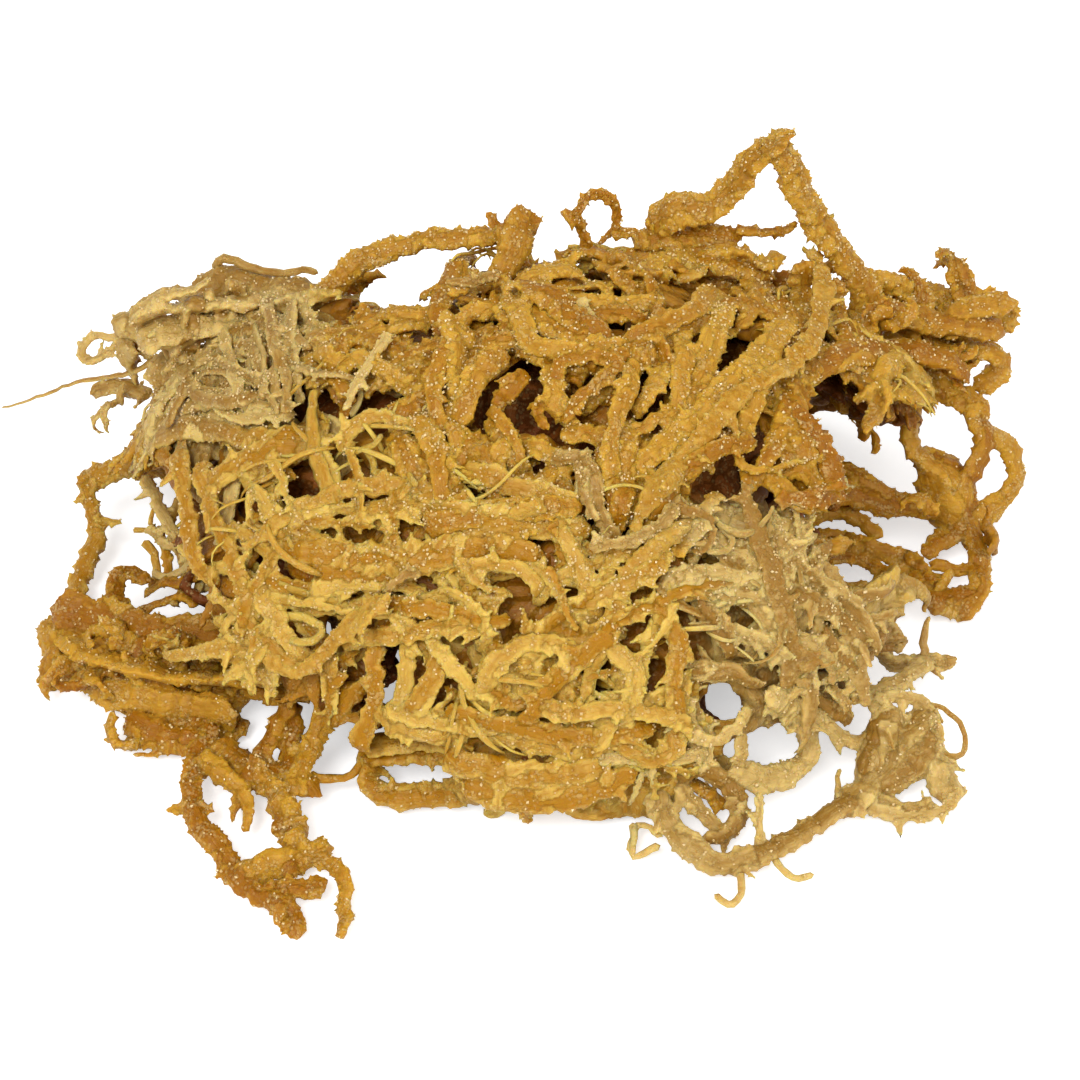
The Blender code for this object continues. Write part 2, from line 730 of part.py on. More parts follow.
def frond_mesh(data, tangle):
    """The closed mesh of one frond: its stem, then each branch out of one of its side faces."""
    bm = bmesh.new()
    points = tangle.points[data["stem"]]
    radii = tangle.radii[data["stem"]]
    rings = [[bm.verts.new(corner) for corner in ring] for ring in stem_rings(points, radii)]
    sides = [skin(bm, ring, after) for ring, after in zip(rings, rings[1:])]
    first_tip = points[0] + unit(points[0] - points[1]) * radii[0] * TIP_LENGTH
    last_tip = points[-1] + unit(points[-1] - points[-2]) * radii[-1] * TIP_LENGTH
    close_end(bm, rings[0], first_tip)
    close_end(bm, rings[-1], last_tip)
    for branch in data["branches"]:
        route = tangle.points[branch["points"]]
        free = sides[branch["side"]]
        away = [np.linalg.norm(np.array(face.calc_center_median()) - route[1]) for face in free]
        face = free.pop(int(np.argmin(away)))
        grow_branch(bm, face, route, tangle.radii[branch["points"]])
    for vertex in bm.verts:
        vertex.co.z = max(vertex.co.z, 0.0)
    bmesh.ops.recalc_face_normals(bm, faces=bm.faces)
    return bm


def frond_material(data):
    """A plain finish in the frond's own tone."""
    material = bpy.data.materials.new(data["name"])
    material.use_nodes = True
    shader = material.node_tree.nodes["Principled BSDF"]
    tone = draw.uniform(*TONES)
    colour = [min(1.0, channel * tone) for channel in COLOURS[data["colour"]]]
    shader.inputs["Base Color"].default_value = (*colour, 1.0)
    shader.inputs["Roughness"].default_value = ROUGHNESS
    shader.inputs["Metallic"].default_value = 0.0
    return material


for old in list(bpy.data.objects):
    bpy.data.objects.remove(old)

heap = lay_out()
heap.settle()
for number, data in enumerate(fronds):
    add_spurs(heap, number, data)
meshes = [frond_mesh(data, heap) for data in fronds]
corners = np.array([vertex.co[:] for bm in meshes for vertex in bm.verts])
low, high = corners.min(axis=0), corners.max(axis=0)
middle = np.array([(low[0] + high[0]) / 2, (low[1] + high[1]) / 2, low[2]])

for data, bm in zip(fronds, meshes):
    for vertex in bm.verts:
        vertex.co = [(vertex.co[axis] - middle[axis]) * MM for axis in range(3)]
    mesh = bpy.data.meshes.new(data["name"])
    bm.to_mesh(mesh)
    bm.free()
    mesh.materials.append(frond_material(data))
    mesh.shade_smooth()
    body = bpy.data.objects.new(data["name"], mesh)
    bpy.context.scene.collection.objects.link(body)
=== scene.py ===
"""The looks of a heap of dried sea moss: golden, translucent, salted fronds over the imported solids."""

import json
import math

import bpy
import numpy as np
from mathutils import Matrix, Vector, kdtree

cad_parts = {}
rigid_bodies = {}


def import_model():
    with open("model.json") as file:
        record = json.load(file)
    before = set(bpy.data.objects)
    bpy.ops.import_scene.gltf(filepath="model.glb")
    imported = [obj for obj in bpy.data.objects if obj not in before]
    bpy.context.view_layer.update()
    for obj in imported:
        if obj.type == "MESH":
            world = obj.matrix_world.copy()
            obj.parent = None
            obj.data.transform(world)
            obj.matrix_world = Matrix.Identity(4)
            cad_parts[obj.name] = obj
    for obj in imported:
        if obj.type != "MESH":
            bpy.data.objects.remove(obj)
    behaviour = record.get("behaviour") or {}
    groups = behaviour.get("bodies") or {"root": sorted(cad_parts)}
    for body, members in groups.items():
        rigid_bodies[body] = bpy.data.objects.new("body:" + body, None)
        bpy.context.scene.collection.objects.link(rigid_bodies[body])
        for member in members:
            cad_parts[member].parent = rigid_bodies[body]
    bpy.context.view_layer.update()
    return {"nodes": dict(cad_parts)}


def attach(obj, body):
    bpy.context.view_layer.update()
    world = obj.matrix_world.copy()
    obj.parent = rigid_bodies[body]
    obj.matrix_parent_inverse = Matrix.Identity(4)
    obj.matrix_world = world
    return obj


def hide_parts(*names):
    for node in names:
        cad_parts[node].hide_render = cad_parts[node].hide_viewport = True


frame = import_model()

MM = 0.001

# ---------------------------------------------------------------------------------------------------
# The fronds inside the heap: long stems of seaweed jelly under a tough skin, dried in the sun and
# rubbed with salt. Here they are thick and hardly seen, and their dark amber is painted shade. Each
# skin is grown over its imported solid: pressed flat, fused, warped and puckered as the jelly shrank.

# The heap's rounded outline on the table, in millimetres.
HEAP_X = 8.7
HEAP_Y = 24.2
HEAP_SIDE = 100.0
HEAP_FRONT = 80.0
HEAP_BACK = 58.0
HEAP_TOP = 71.0
HEAP_FULLNESS = 0.6

# The front plane is square to the line that the heap is looked at along, with its origin inside the
# heap. Routes, gaps and hollows are laid out on it: across and up, in millimetres.
TILT = math.radians(42)
LOOK = np.array([0.0, math.cos(TILT), -math.sin(TILT)])
ACROSS = np.array([1.0, 0.0, 0.0])
RISE = np.array([0.0, math.sin(TILT), math.cos(TILT)])
MIDDLE = np.array([6.74, 2.22, 24.0])
AWAY = 380.0
EYE = MIDDLE - AWAY * LOOK

# Gaps that stay open right through: across, up, half width and half height.
GAPS = np.array([
    # the arches and rings along the top
    (-24, 52.5, 5, 2.6), (-31, 49.5, 3, 1.3), (-25, 48.3, 4, 1.6), (-10.8, 53.2, 0.8, 1.9),
    (0.5, 60.5, 3, 3.6), (11.5, 65, 2.2, 2.6), (16, 61, 2.5, 1.5), (17, 65, 2, 3), (46.5, 66, 4, 2.6),
    (42, 63.2, 2, 0.9), (53, 61, 2, 2.3), (50.5, 58.5, 1.3, 0.6), (58.7, 55.3, 1, 2.6),
    (60.2, 49.3, 1.3, 0.9), (27.8, 59.3, 0.9, 1.2), (34.4, 50, 0.9, 1.4), (38, 53.8, 0.5, 1),
    (26.3, 48, 0.9, 0.9), (16.7, 44, 0.8, 0.7),
    # the right
    (57, 21, 3.5, 4), (63, 16.5, 5, 3), (70.5, 15.5, 5, 6), (74.3, 22.3, 0.8, 1.5), (82, 20.5, 4.4, 4.3),
    (90.2, 12.5, 2.4, 4), (58, 3.7, 2, 1.3), (64, 5, 4, 0.9), (70, 3.3, 5, 1), (77, 2.5, 4, 1),
    (60.8, -6.5, 2.6, 1.2), (66.7, -2.8, 1.3, 1), (83.5, -3.5, 3, 2.2), (84.7, -7, 0.8, 0.7),
    # the left
    (-84, 8.5, 3, 2.2), (-77, 9, 2.5, 3.5), (-80, 3, 4.5, 4), (-74, 5.5, 2, 3), (-83, -2, 4, 4),
    (-87, -8, 2.5, 3), (-77.5, -4, 1.8, 3.5), (-90, -12.5, 2, 0.8), (-73.5, -6.7, 1.3, 0.7),
    (-78.5, -12, 3.5, 0.6), (-69.5, -9.5, 1.5, 1.2), (-77.5, -16, 2.2, 1), (-72.5, -14.5, 1.3, 0.7),
    (-68.5, 50, 1.2, 1.7), (-64.6, 53.4, 0.9, 1), (-62.9, 55.4, 0.6, 0.5), (-75, 45.2, 0.7, 0.6),
    (-74.3, 42.3, 1.5, 1), (-67.6, 42.2, 1.1, 1), (-76, 37.5, 1.8, 1.2), (-46, 52.3, 1.9, 1.4),
    (-41.7, 46, 1, 1), (-84.5, 36.8, 2.8, 1.4), (-85, 34.2, 1.4, 1), (-81, 34.5, 0.8, 0.7),
    (-88.2, 35, 0.9, 0.8), (-88.5, 39.5, 1.6, 1), (-80, 27.5, 0.8, 0.9),
    # the front
    (-29.5, -21, 1.2, 0.5), (-30, -23.5, 1.5, 1.5), (-30, -30, 1.3, 1), (-35.3, -28, 1, 2.2),
    (-37, -32, 1.2, 1.2), (-29, -40.5, 3.5, 1.4), (-21.5, -41.5, 1.2, 0.6), (-24, -47, 5, 1.4),
    (-18, -20, 0.7, 0.9), (-39.5, -43.5, 2.8, 4), (36.5, -32, 2.2, 3.2), (45.5, -41, 3.5, 2.8),
    (40, -42, 1.5, 1), (36, -46.2, 1, 0.8), (22, -38, 1.2, 0.8), (53.3, -16.5, 0.8, 0.8),
    (66.7, -27, 1.3, 2), (59.5, -43, 4.5, 4), (61, -37.5, 3.5, 0.9), (82, -39, 2.5, 2.5),
    (74.3, -51.8, 1.3, 1), (-68.5, -41.5, 1.1, 2.4), (-66, -32.3, 6, 1.1), (-55, -37, 4.5, 4.5),
    (-59, -42.5, 2.5, 1.5), (-47, -38, 2.3, 3.2), (-54, -43.5, 1.8, 1), (-63, -53, 4, 3.5),
    (-55, -60.5, 4, 4), (-47, -58, 1.2, 1.5),
])


def heap_level(points):
    """1 on the heap's surface, less inside it. points are in mm, one or many."""
    x, y, z = points[..., 0], points[..., 1], points[..., 2]
    reach = np.where(y < HEAP_Y, HEAP_FRONT, HEAP_BACK)
    out = ((x - HEAP_X) / HEAP_SIDE) ** 2 + ((y - HEAP_Y) / reach) ** 2
    return out + (np.maximum(z, 0.0) / HEAP_TOP) ** (1 / HEAP_FULLNESS)


def heap_slope(points):
    """The surface's outward direction at each point, and how fast the level rises along it."""
    x, y, z = points[..., 0], points[..., 1], points[..., 2]
    reach = np.where(y < HEAP_Y, HEAP_FRONT, HEAP_BACK)
    power = 1 / HEAP_FULLNESS
    slope = np.stack([
        2 * (x - HEAP_X) / HEAP_SIDE**2,
        2 * (y - HEAP_Y) / reach**2,
        power * (np.maximum(z, 0.5) / HEAP_TOP) ** (power - 1) / HEAP_TOP,
    ], -1)
    size = np.linalg.norm(slope, axis=-1, keepdims=True)
    return slope / size, size[..., 0]


# Ovals where the sun has bleached the jelly to straw, given as the gaps are.
BLEACHED = np.array([
    (-72, 38, 19, 19), (-58, 44, 14, 10), (64, -34, 26, 22), (46, -16, 14, 12), (40, 2, 12, 7),
])


def out_from_ovals(points, ovals, room=0.0):
    """How far out each point lies behind the nearest oval, made larger by that room: 1 is its edge."""
    from_eye = points - EYE
    shrink = AWAY / (from_eye @ LOOK)
    across = (from_eye @ ACROSS * shrink)[..., None] - ovals[:, 0]
    up = (from_eye @ RISE * shrink)[..., None] - ovals[:, 1]
    return np.sqrt((across / (ovals[:, 2] + room)) ** 2 + (up / (ovals[:, 3] + room)) ** 2).min(-1)


def within(points, ovals, room):
    """Which points lie behind an oval made larger by that room, in mm."""
    return out_from_ovals(points, ovals, room) < 1


def linear(hex_colour):
    """A colour written as sRGB hex, as the linear values that a shader takes."""
    values = [int(hex_colour[k : k + 2], 16) / 255 for k in (1, 3, 5)]
    return (*[v / 12.92 if v <= 0.04045 else ((v + 0.055) / 1.055) ** 2.4 for v in values], 1.0)


def add_node(material, kind, output, settings=None, inputs=None):
    """Adds a node and hands back one output of it. Each input is a value or another node's output."""
    node = material.node_tree.nodes.new(kind)
    for name, value in (settings or {}).items():
        setattr(node, name, value)
    for name, value in (inputs or {}).items():
        if isinstance(value, bpy.types.NodeSocket):
            material.node_tree.links.new(value, node.inputs[name])
        else:
            node.inputs[name].default_value = value
    return node.outputs[output]


def dried_frond(name, body, thin, deep, salt_drifts, frosting=0.36, roughness=0.4, glow=0.55):
    """Dried seaweed jelly: golden, and soft with the light that passes inside it.

    It runs from the body colour to the thin one by frond and in blotches, and on its rim and ridge tops
    as a painted glow of light through thin jelly. It runs to the deep one in each crease and down inside
    the heap, as painted shade.
    Grains of salt are dotted over it in patches and lie in drifts over that share of it.
    """
    material = bpy.data.materials.new(name)
    material.use_nodes = True
    place = add_node(material, "ShaderNodeTexCoord", "Object")
    # Each frond's own tone, with the painted glow of its rim added in finish_piece.
    tone = add_node(material, "ShaderNodeAttribute", "Fac", {"attribute_name": "tone"})
    # Painted shade: how far down inside the heap each point lies, written by finish_piece.
    painted_shade_depth = add_node(material, "ShaderNodeAttribute", "Fac", {"attribute_name": "painted_shade_depth"})
    bleached = add_node(material, "ShaderNodeAttribute", "Fac", {"attribute_name": "bleached"})
    bend = add_node(material, "ShaderNodeNewGeometry", "Pointiness")

    # Blotches 9 mm across, and wrinkles that run along each frond, 0.8 mm apart, where it shrank.
    # fibres holds how far each point is across and along its frond, in mm.
    fibres = add_node(material, "ShaderNodeAttribute", "Vector", {"attribute_name": "fibres"})
    blotches = add_node(
        material, "ShaderNodeTexNoise", "Fac",
        inputs={"Vector": place, "Scale": 1 / (9.0 * MM), "Detail": 3.0, "Roughness": 0.6},
    )
    wrinkles = add_node(
        material, "ShaderNodeTexNoise", "Fac",
        inputs={"Vector": fibres, "Scale": 1 / 0.8, "Detail": 3.0, "Roughness": 0.6},
    )
    # Painted glow: convex ridges get lighter, towards the thin colour, as if light shone through the jelly.
    ridge_glow = add_node(
        material, "ShaderNodeMapRange", "Result", inputs={"Value": bend, "From Min": 0.5, "From Max": 0.62},
    )
    # Painted shade: concave creases take the deep colour.
    painted_crease_shade = add_node(
        material, "ShaderNodeMapRange", "Result",
        inputs={"Value": bend, "From Min": 0.49, "From Max": 0.4, "To Max": 0.7},
    )
    blotched = add_node(
        material, "ShaderNodeMath", "Value", {"operation": "MULTIPLY_ADD"}, {0: blotches, 1: 0.9, 2: tone}
    )
    with_ridge_glow = add_node(
        material, "ShaderNodeMath", "Value", {"operation": "MULTIPLY_ADD"}, {0: ridge_glow, 1: 0.4, 2: blotched}
    )
    tone_and_glow = add_node(
        material, "ShaderNodeMath", "Value", {"operation": "MULTIPLY_ADD"}, {0: wrinkles, 1: -1.6, 2: with_ridge_glow}
    )
    lightness = add_node(
        material, "ShaderNodeMapRange", "Result",
        inputs={"Value": tone_and_glow, "From Min": -0.4, "From Max": 0.9},
    )
    # Painted shade: the stronger of the depth shade and the crease shade.
    hollows = add_node(
        material, "ShaderNodeMath", "Value", {"operation": "MAXIMUM"}, {0: painted_shade_depth, 1: painted_crease_shade}
    )
    jelly = add_node(
        material, "ShaderNodeMix", 2, {"data_type": "RGBA"}, {0: lightness, 6: linear(body), 7: linear(thin)}
    )
    straw = add_node(
        material, "ShaderNodeMix", 2, {"data_type": "RGBA"},
        {0: lightness, 6: linear("#946c26"), 7: linear("#d2b46c")},
    )
    jelly = add_node(material, "ShaderNodeMix", 2, {"data_type": "RGBA"}, {0: bleached, 6: jelly, 7: straw})
    # Painted shade: in creases and down inside the heap, the colour goes to the deep one.
    jelly = add_node(
        material, "ShaderNodeMix", 2, {"data_type": "RGBA"}, {0: hollows, 6: jelly, 7: linear(deep)}
    )

    # Salt: grains of 0.5 mm about 1 mm apart in loose patches, and grains 0.7 mm apart in drifts.
    spots = add_node(
        material, "ShaderNodeTexVoronoi", "Distance", inputs={"Vector": place, "Scale": 1 / (1.0 * MM)}
    )
    uneven_spots = add_node(
        material, "ShaderNodeMath", "Value", {"operation": "MULTIPLY_ADD"}, {0: wrinkles, 1: 0.9, 2: spots}
    )
    grains = add_node(
        material, "ShaderNodeMapRange", "Result",
        inputs={"Value": uneven_spots, "From Min": 0.86, "From Max": 0.72},
    )
    packed = add_node(
        material, "ShaderNodeTexVoronoi", "Distance", inputs={"Vector": place, "Scale": 1 / (0.7 * MM)}
    )
    uneven_packed = add_node(
        material, "ShaderNodeMath", "Value", {"operation": "MULTIPLY_ADD"}, {0: wrinkles, 1: 0.9, 2: packed}
    )
    packed_grains = add_node(
        material, "ShaderNodeMapRange", "Result",
        inputs={"Value": uneven_packed, "From Min": 1.0, "From Max": 0.84},
    )
    clouds = add_node(
        material, "ShaderNodeTexNoise", "Fac",
        inputs={"Vector": place, "Scale": 1 / (5.0 * MM), "Detail": 2.0, "Roughness": 0.6},
    )
    edge = 0.68 - 0.3 * salt_drifts
    drifts = add_node(
        material, "ShaderNodeMapRange", "Result",
        inputs={"Value": clouds, "From Min": edge, "From Max": edge + 0.1},
    )
    drifted = add_node(
        material, "ShaderNodeMath", "Value", {"operation": "MULTIPLY"}, {0: packed_grains, 1: drifts}
    )
    patches = add_node(
        material, "ShaderNodeMapRange", "Result",
        inputs={"Value": clouds, "From Min": 0.42, "From Max": 0.56, "To Min": 0.1},
    )
    dotted = add_node(
        material, "ShaderNodeMath", "Value", {"operation": "MULTIPLY"}, {0: grains, 1: patches}
    )
    salt = add_node(material, "ShaderNodeMath", "Value", {"operation": "MAXIMUM"}, {0: dotted, 1: drifted})
    frost = add_node(material, "ShaderNodeMath", "Value", {"operation": "MULTIPLY"}, {0: salt, 1: frosting})
    colour = add_node(
        material, "ShaderNodeMix", 2, {"data_type": "RGBA"}, {0: frost, 6: jelly, 7: linear("#dcbc7c")}
    )

    relief = add_node(
        material, "ShaderNodeMath", "Value", {"operation": "MULTIPLY_ADD"}, {0: wrinkles, 1: 1.6, 2: salt}
    )
    bump = add_node(
        material, "ShaderNodeBump", "Normal",
        inputs={"Height": relief, "Strength": 0.8, "Distance": 0.35 * MM},
    )
    rough = add_node(
        material, "ShaderNodeMapRange", "Result",
        inputs={"Value": wrinkles, "To Min": roughness - 0.12, "To Max": roughness + 0.12},
    )
    shader = material.node_tree.nodes["Principled BSDF"]
    links = material.node_tree.links
    links.new(colour, shader.inputs["Base Color"])
    links.new(bump, shader.inputs["Normal"])
    links.new(rough, shader.inputs["Roughness"])
    shader.inputs["IOR"].default_value = 1.4
    shader.inputs["Specular IOR Level"].default_value = 0.3
    shader.inputs["Subsurface Weight"].default_value = glow
    shader.inputs["Subsurface Radius"].default_value = (1.0, 0.6, 0.2)
    shader.inputs["Subsurface Scale"].default_value = 2.5 * MM
    return material


def only(*things):
    """Makes these objects the only selected ones, the first one active."""
    bpy.ops.object.select_all(action="DESELECT")
    for thing in things:
        thing.select_set(True)
    bpy.context.view_layer.objects.active = things[0]


def shape_with(body, kind, **settings):
    """Adds a modifier to a body and applies it."""
    modifier = body.modifiers.new(kind.title(), kind)
    for name, value in settings.items():
        setattr(modifier, name, value)
    only(body)
    bpy.ops.object.modifier_apply(modifier=modifier.name)


def unevenness(size_mm, coloured=False):
    """A cloudy unevenness of that size, for a Displace modifier."""
    texture = bpy.data.textures.new(f"uneven {size_mm} mm", "CLOUDS")
    texture.noise_scale = size_mm * MM
    texture.noise_depth = 1
    texture.cloud_type = "COLOR" if coloured else "GRAYSCALE"
    return texture


slow_bends = unevenness(14.0, True)
quick_bends = unevenness(5.0, True)
lumps = unevenness(3.6)
puckers = unevenness(1.3)


def delete_corners(body, chosen):
    """Deletes the mesh corners that chosen marks. Old selections are cleared first, faces included."""
    only(body)
    bpy.ops.object.mode_set(mode="EDIT")
    bpy.ops.mesh.select_all(action="DESELECT")
    bpy.ops.object.mode_set(mode="OBJECT")
    body.data.vertices.foreach_set("select", chosen)
    bpy.ops.object.mode_set(mode="EDIT")
    bpy.ops.mesh.delete(type="VERT")
    bpy.ops.object.mode_set(mode="OBJECT")


def drop_crumbs(body, smallest):
    """Deletes loose scraps with fewer corners than that, left where a frond was cut short."""
    ends = np.empty(len(body.data.edges) * 2, np.int32)
    body.data.edges.foreach_get("vertices", ends)
    ends = ends.reshape(-1, 2)
    scrap = np.arange(len(body.data.vertices))
    while True:
        joined = scrap.copy()
        lower = scrap[ends].min(1)
        np.minimum.at(joined, scrap[ends[:, 0]], lower)
        np.minimum.at(joined, scrap[ends[:, 1]], lower)
        joined = joined[joined]
        if (joined == scrap).all():
            break
        scrap = joined
    small = np.bincount(scrap, minlength=len(scrap))[scrap] < smallest
    if small.any() and not small.all():
        delete_corners(body, small)


def grow_skin(body, grain, bends=3.0, lumpiness=1.0, swell=0.0, smoothing=2, crumbs=50.0):
    """Turns rough tubes into one grown skin: fused, bent, lumpy and puckered. Sizes are in mm.

    crumbs is the area of the largest loose scrap to leave out, in square millimetres.
    """
    shape_with(body, "REMESH", mode="VOXEL", voxel_size=grain * MM)
    drop_crumbs(body, crumbs / grain**2)
    shape_with(body, "SMOOTH", factor=0.5, iterations=smoothing)
    turn = {"direction": "RGB_TO_XYZ", "mid_level": 0.5}
    shape_with(body, "DISPLACE", texture=slow_bends, strength=bends * MM, **turn)
    shape_with(body, "DISPLACE", texture=quick_bends, strength=0.5 * bends * MM, **turn)
    shape_with(body, "DISPLACE", texture=lumps, strength=lumpiness * MM, mid_level=0.5 - swell / lumpiness)
    shape_with(body, "DISPLACE", texture=puckers, strength=0.6 * lumpiness * MM, mid_level=0.5)


def corners_of(mesh):
    """The mesh's corners in millimetres."""
    corners = np.empty(len(mesh.vertices) * 3, np.float32)
    mesh.vertices.foreach_get("co", corners)
    return corners.reshape(-1, 3) / MM


def place_corners(mesh, corners):
    """Moves the mesh's corners to those places in millimetres."""
    mesh.vertices.foreach_set("co", (corners * MM).astype(np.float32).ravel())
    mesh.update()


def normals_of(mesh):
    """The outward direction at each of the mesh's corners."""
    normals = np.empty(len(mesh.vertices) * 3, np.float32)
    mesh.vertices.foreach_get("normal", normals)
    return normals.reshape(-1, 3)


def press_flat(body, amount):
    """Presses a round frond flat where it lies high on the heap: its outer and inner faces come in."""
    corners, normals = corners_of(body.data), normals_of(body.data)
    outward, _ = heap_slope(corners)
    lies_on = np.clip((corners[:, 2] - 12) / 10, 0, 1) * np.clip((1.3 - heap_level(corners)) / 0.1, 0, 1)
    facing = np.abs((normals * outward).sum(1)) * lies_on
    place_corners(body.data, corners - normals * (amount * facing)[:, None])


def cells_of(corners, size):
    """A number for each corner that says which cube of that size it lies in."""
    return np.floor(corners / size).astype(np.int64) @ np.array([1, 4096, 4096 * 4096])


def tooth_edges(body, seed, height):
    """Pulls small pointed teeth out of the skin, mostly where it is sharply rounded."""
    spacing, share, least_rounded = 1.4, 0.6, 0.6
    rng = np.random.default_rng(seed)
    mesh = body.data
    corners, normals = corners_of(mesh), normals_of(mesh)
    edges = np.empty(len(mesh.edges) * 2, np.int32)
    mesh.edges.foreach_get("vertices", edges)
    a, b = edges.reshape(-1, 2).T
    rounded = np.zeros(len(corners))
    np.add.at(rounded, a, ((corners[a] - corners[b]) * normals[a]).sum(1))
    np.add.at(rounded, b, ((corners[b] - corners[a]) * normals[b]).sum(1))
    cells = cells_of(corners, spacing)
    order = np.lexsort((-(rounded + 0.3 * rng.random(len(rounded))), cells))
    first = np.append(True, cells[order][1:] != cells[order][:-1])
    chosen = order[first]
    sharp = rounded[chosen] > np.quantile(rounded, least_rounded)
    chosen = chosen[(rng.random(len(chosen)) < share) & sharp]
    pull = np.zeros(len(corners))
    pull[chosen] = height * rng.uniform(0.4, 1.1, len(chosen))
    spread = np.zeros(len(corners))
    np.maximum.at(spread, a, 0.3 * pull[b])
    np.maximum.at(spread, b, 0.3 * pull[a])
    lean = rng.normal(0, 0.4, corners.shape) * (pull > 0)[:, None]
    place_corners(mesh, corners + (normals + lean) * np.maximum(pull, spread)[:, None])


# How far apart the rings of a strand are along its route, in mm.
RING_STEP = 1.4


def unit(vector):
    """The same direction, one long."""
    return vector / np.linalg.norm(vector)


def side_of(strand):
    """The way along a strand, and the way across it, at each of its points."""
    ahead = np.gradient(strand["route"], axis=0)
    ahead /= np.linalg.norm(ahead, axis=1)[:, None]
    side = np.cross(ahead, strand["facing"])
    return ahead, side / np.maximum(np.linalg.norm(side, axis=1)[:, None], 1e-6)


def strand_rings(rng, strand, sides):
    """Corners of the rings round a strand: flat, twisted, and toothed along its two edges."""
    route, radii = strand["route"], strand["radii"]
    ahead, side = side_of(strand)
    up = np.cross(side, ahead)
    angle = (strand["twist"] * np.linspace(-0.5, 0.5, len(route)) + rng.normal(0, 0.15))[:, None]
    side, up = side * np.cos(angle) + up * np.sin(angle), up * np.cos(angle) - side * np.sin(angle)
    turn = np.arange(sides) * 2 * math.pi / sides
    edge = np.abs(np.cos(turn)) > 0.9
    reach = radii[:, None] * rng.uniform(0.92, 1.1, (len(route), sides))
    teeth = rng.random((len(route), sides)) ** 3 * strand["teeth"] * np.minimum(1.0, radii / 1.2)[:, None]
    reach = reach + teeth * np.where(edge, 1.0, 0.35)
    across = (reach * np.cos(turn))[:, :, None] * side[:, None, :]
    over = (reach * np.sin(turn))[:, :, None] * up[:, None, :] * strand["flatness"]
    return route[:, None, :] + across + over


def strands_mesh(name, rng, strands, sides=8):
    """One mesh of many closed strands, with their tones in it."""
    points, faces, tones = [], [], []
    first = 0
    for strand in strands:
        route, radii = strand["route"], strand["radii"]
        count = len(route)
        points.append(strand_rings(rng, strand, sides).reshape(-1, 3))
        points.append([route[0] + 0.6 * radii[0] * unit(route[0] - route[1])])
        points.append([route[-1] + 1.0 * radii[-1] * unit(route[-1] - route[-2])])
        tones.append(np.full(count * sides + 2, strand["tone"]))
        start, end = first + count * sides, first + count * sides + 1
        for corner in range(sides):
            after = (corner + 1) % sides
            for ring in range(first, first + (count - 1) * sides, sides):
                faces.append((ring + corner, ring + sides + corner, ring + sides + after, ring + after))
            faces.append((first + corner, first + after, start))
            faces.append((start - sides + after, start - sides + corner, end))
        first += count * sides + 2
    mesh = bpy.data.meshes.new(name)
    mesh.from_pydata((np.vstack(points) * MM).tolist(), [], faces)
    mesh.attributes.new("tone", "FLOAT", "POINT").data.foreach_set(
        "value", np.concatenate(tones).astype(np.float32)
    )
    body = bpy.data.objects.new(name, mesh)
    bpy.context.scene.collection.objects.link(body)
    return body


def spur(rng, root, heading, forward, facing, length, thick, tone):
    """A short pointed side branch, as a strand."""
    share = np.linspace(0, 1, 5)[:, None]
    sway = rng.uniform(-0.3, 0.5) * length * forward
    return {
        "route": root + heading * length * share + sway * share**2, "facing": np.tile(facing, (5, 1)),
        "radii": thick * np.linspace(1.0, 0.3, 5), "tone": tone + 0.15, "teeth": 0.3,
        "flatness": 0.7, "twist": 0.0,
    }


def add_spurs(body, seed, spacing, low, high):
    """Joins short pointed branches to a frond's skin, about that far apart and of those lengths."""
    rng = np.random.default_rng(seed)
    corners, normals = corners_of(body.data), normals_of(body.data)
    outward, _ = heap_slope(corners)
    cells = cells_of(corners, spacing)
    order = rng.permutation(len(corners))
    order = order[np.abs((normals[order] * outward[order]).sum(1)) < 0.75]
    _, first = np.unique(cells[order], return_index=True)
    strands = []
    for corner in order[np.sort(first)]:
        if corners[corner][2] < 1.5:
            continue
        heading = unit(normals[corner] + 0.55 * rng.normal(0, 1, 3))
        length = rng.uniform(low, high)
        heading[2] = max(heading[2], (1.0 - corners[corner][2]) / length)
        root = corners[corner] - 1.2 * normals[corner]
        strands.append(spur(
            rng, root, heading, unit(rng.normal(0, 1, 3)), outward[corner], length + 1.2,
            rng.uniform(0.8, 1.3), 0.3,
        ))
    if strands:
        grown = strands_mesh("spurs", rng, strands)
        only(body, grown)
        bpy.ops.object.join()


def follow_strands(corners, strands):
    """For each corner: its strand's tone, how near it is to the rim, and its place on the strand.

    Places are far apart from one strand to the next, so that no two share their wrinkles, and drawn
    out along the strand, so that the wrinkles run that way.
    """
    tree = kdtree.KDTree(sum(len(strand["route"]) for strand in strands))
    table = []
    far_apart, drawn_out, drift = 37.0, 0.12, 0.3
    for number, strand in enumerate(strands):
        ahead, side = side_of(strand)
        for at, point in enumerate(strand["route"]):
            tree.insert(point, len(table))
            table.append((
                *point, *ahead[at], *side[at], RING_STEP * at + far_apart * number,
                strand["radii"][at], strand["tone"],
            ))
    tree.balance()
    found = np.array(table)[[tree.find(corner)[1] for corner in corners.tolist()]]
    away = corners - found[:, 0:3]
    across, along = (away * found[:, 6:9]).sum(1), (away * found[:, 3:6]).sum(1)
    # Nearness to the rim, which gets a painted glow through the tone.
    rim_glow = np.clip((np.abs(across) / found[:, 10] - 0.35) / 0.6, 0, 1)
    fibres = np.stack([across, drawn_out * (found[:, 9] + along), drift * found[:, 9]], 1)
    return found[:, 11], rim_glow, fibres


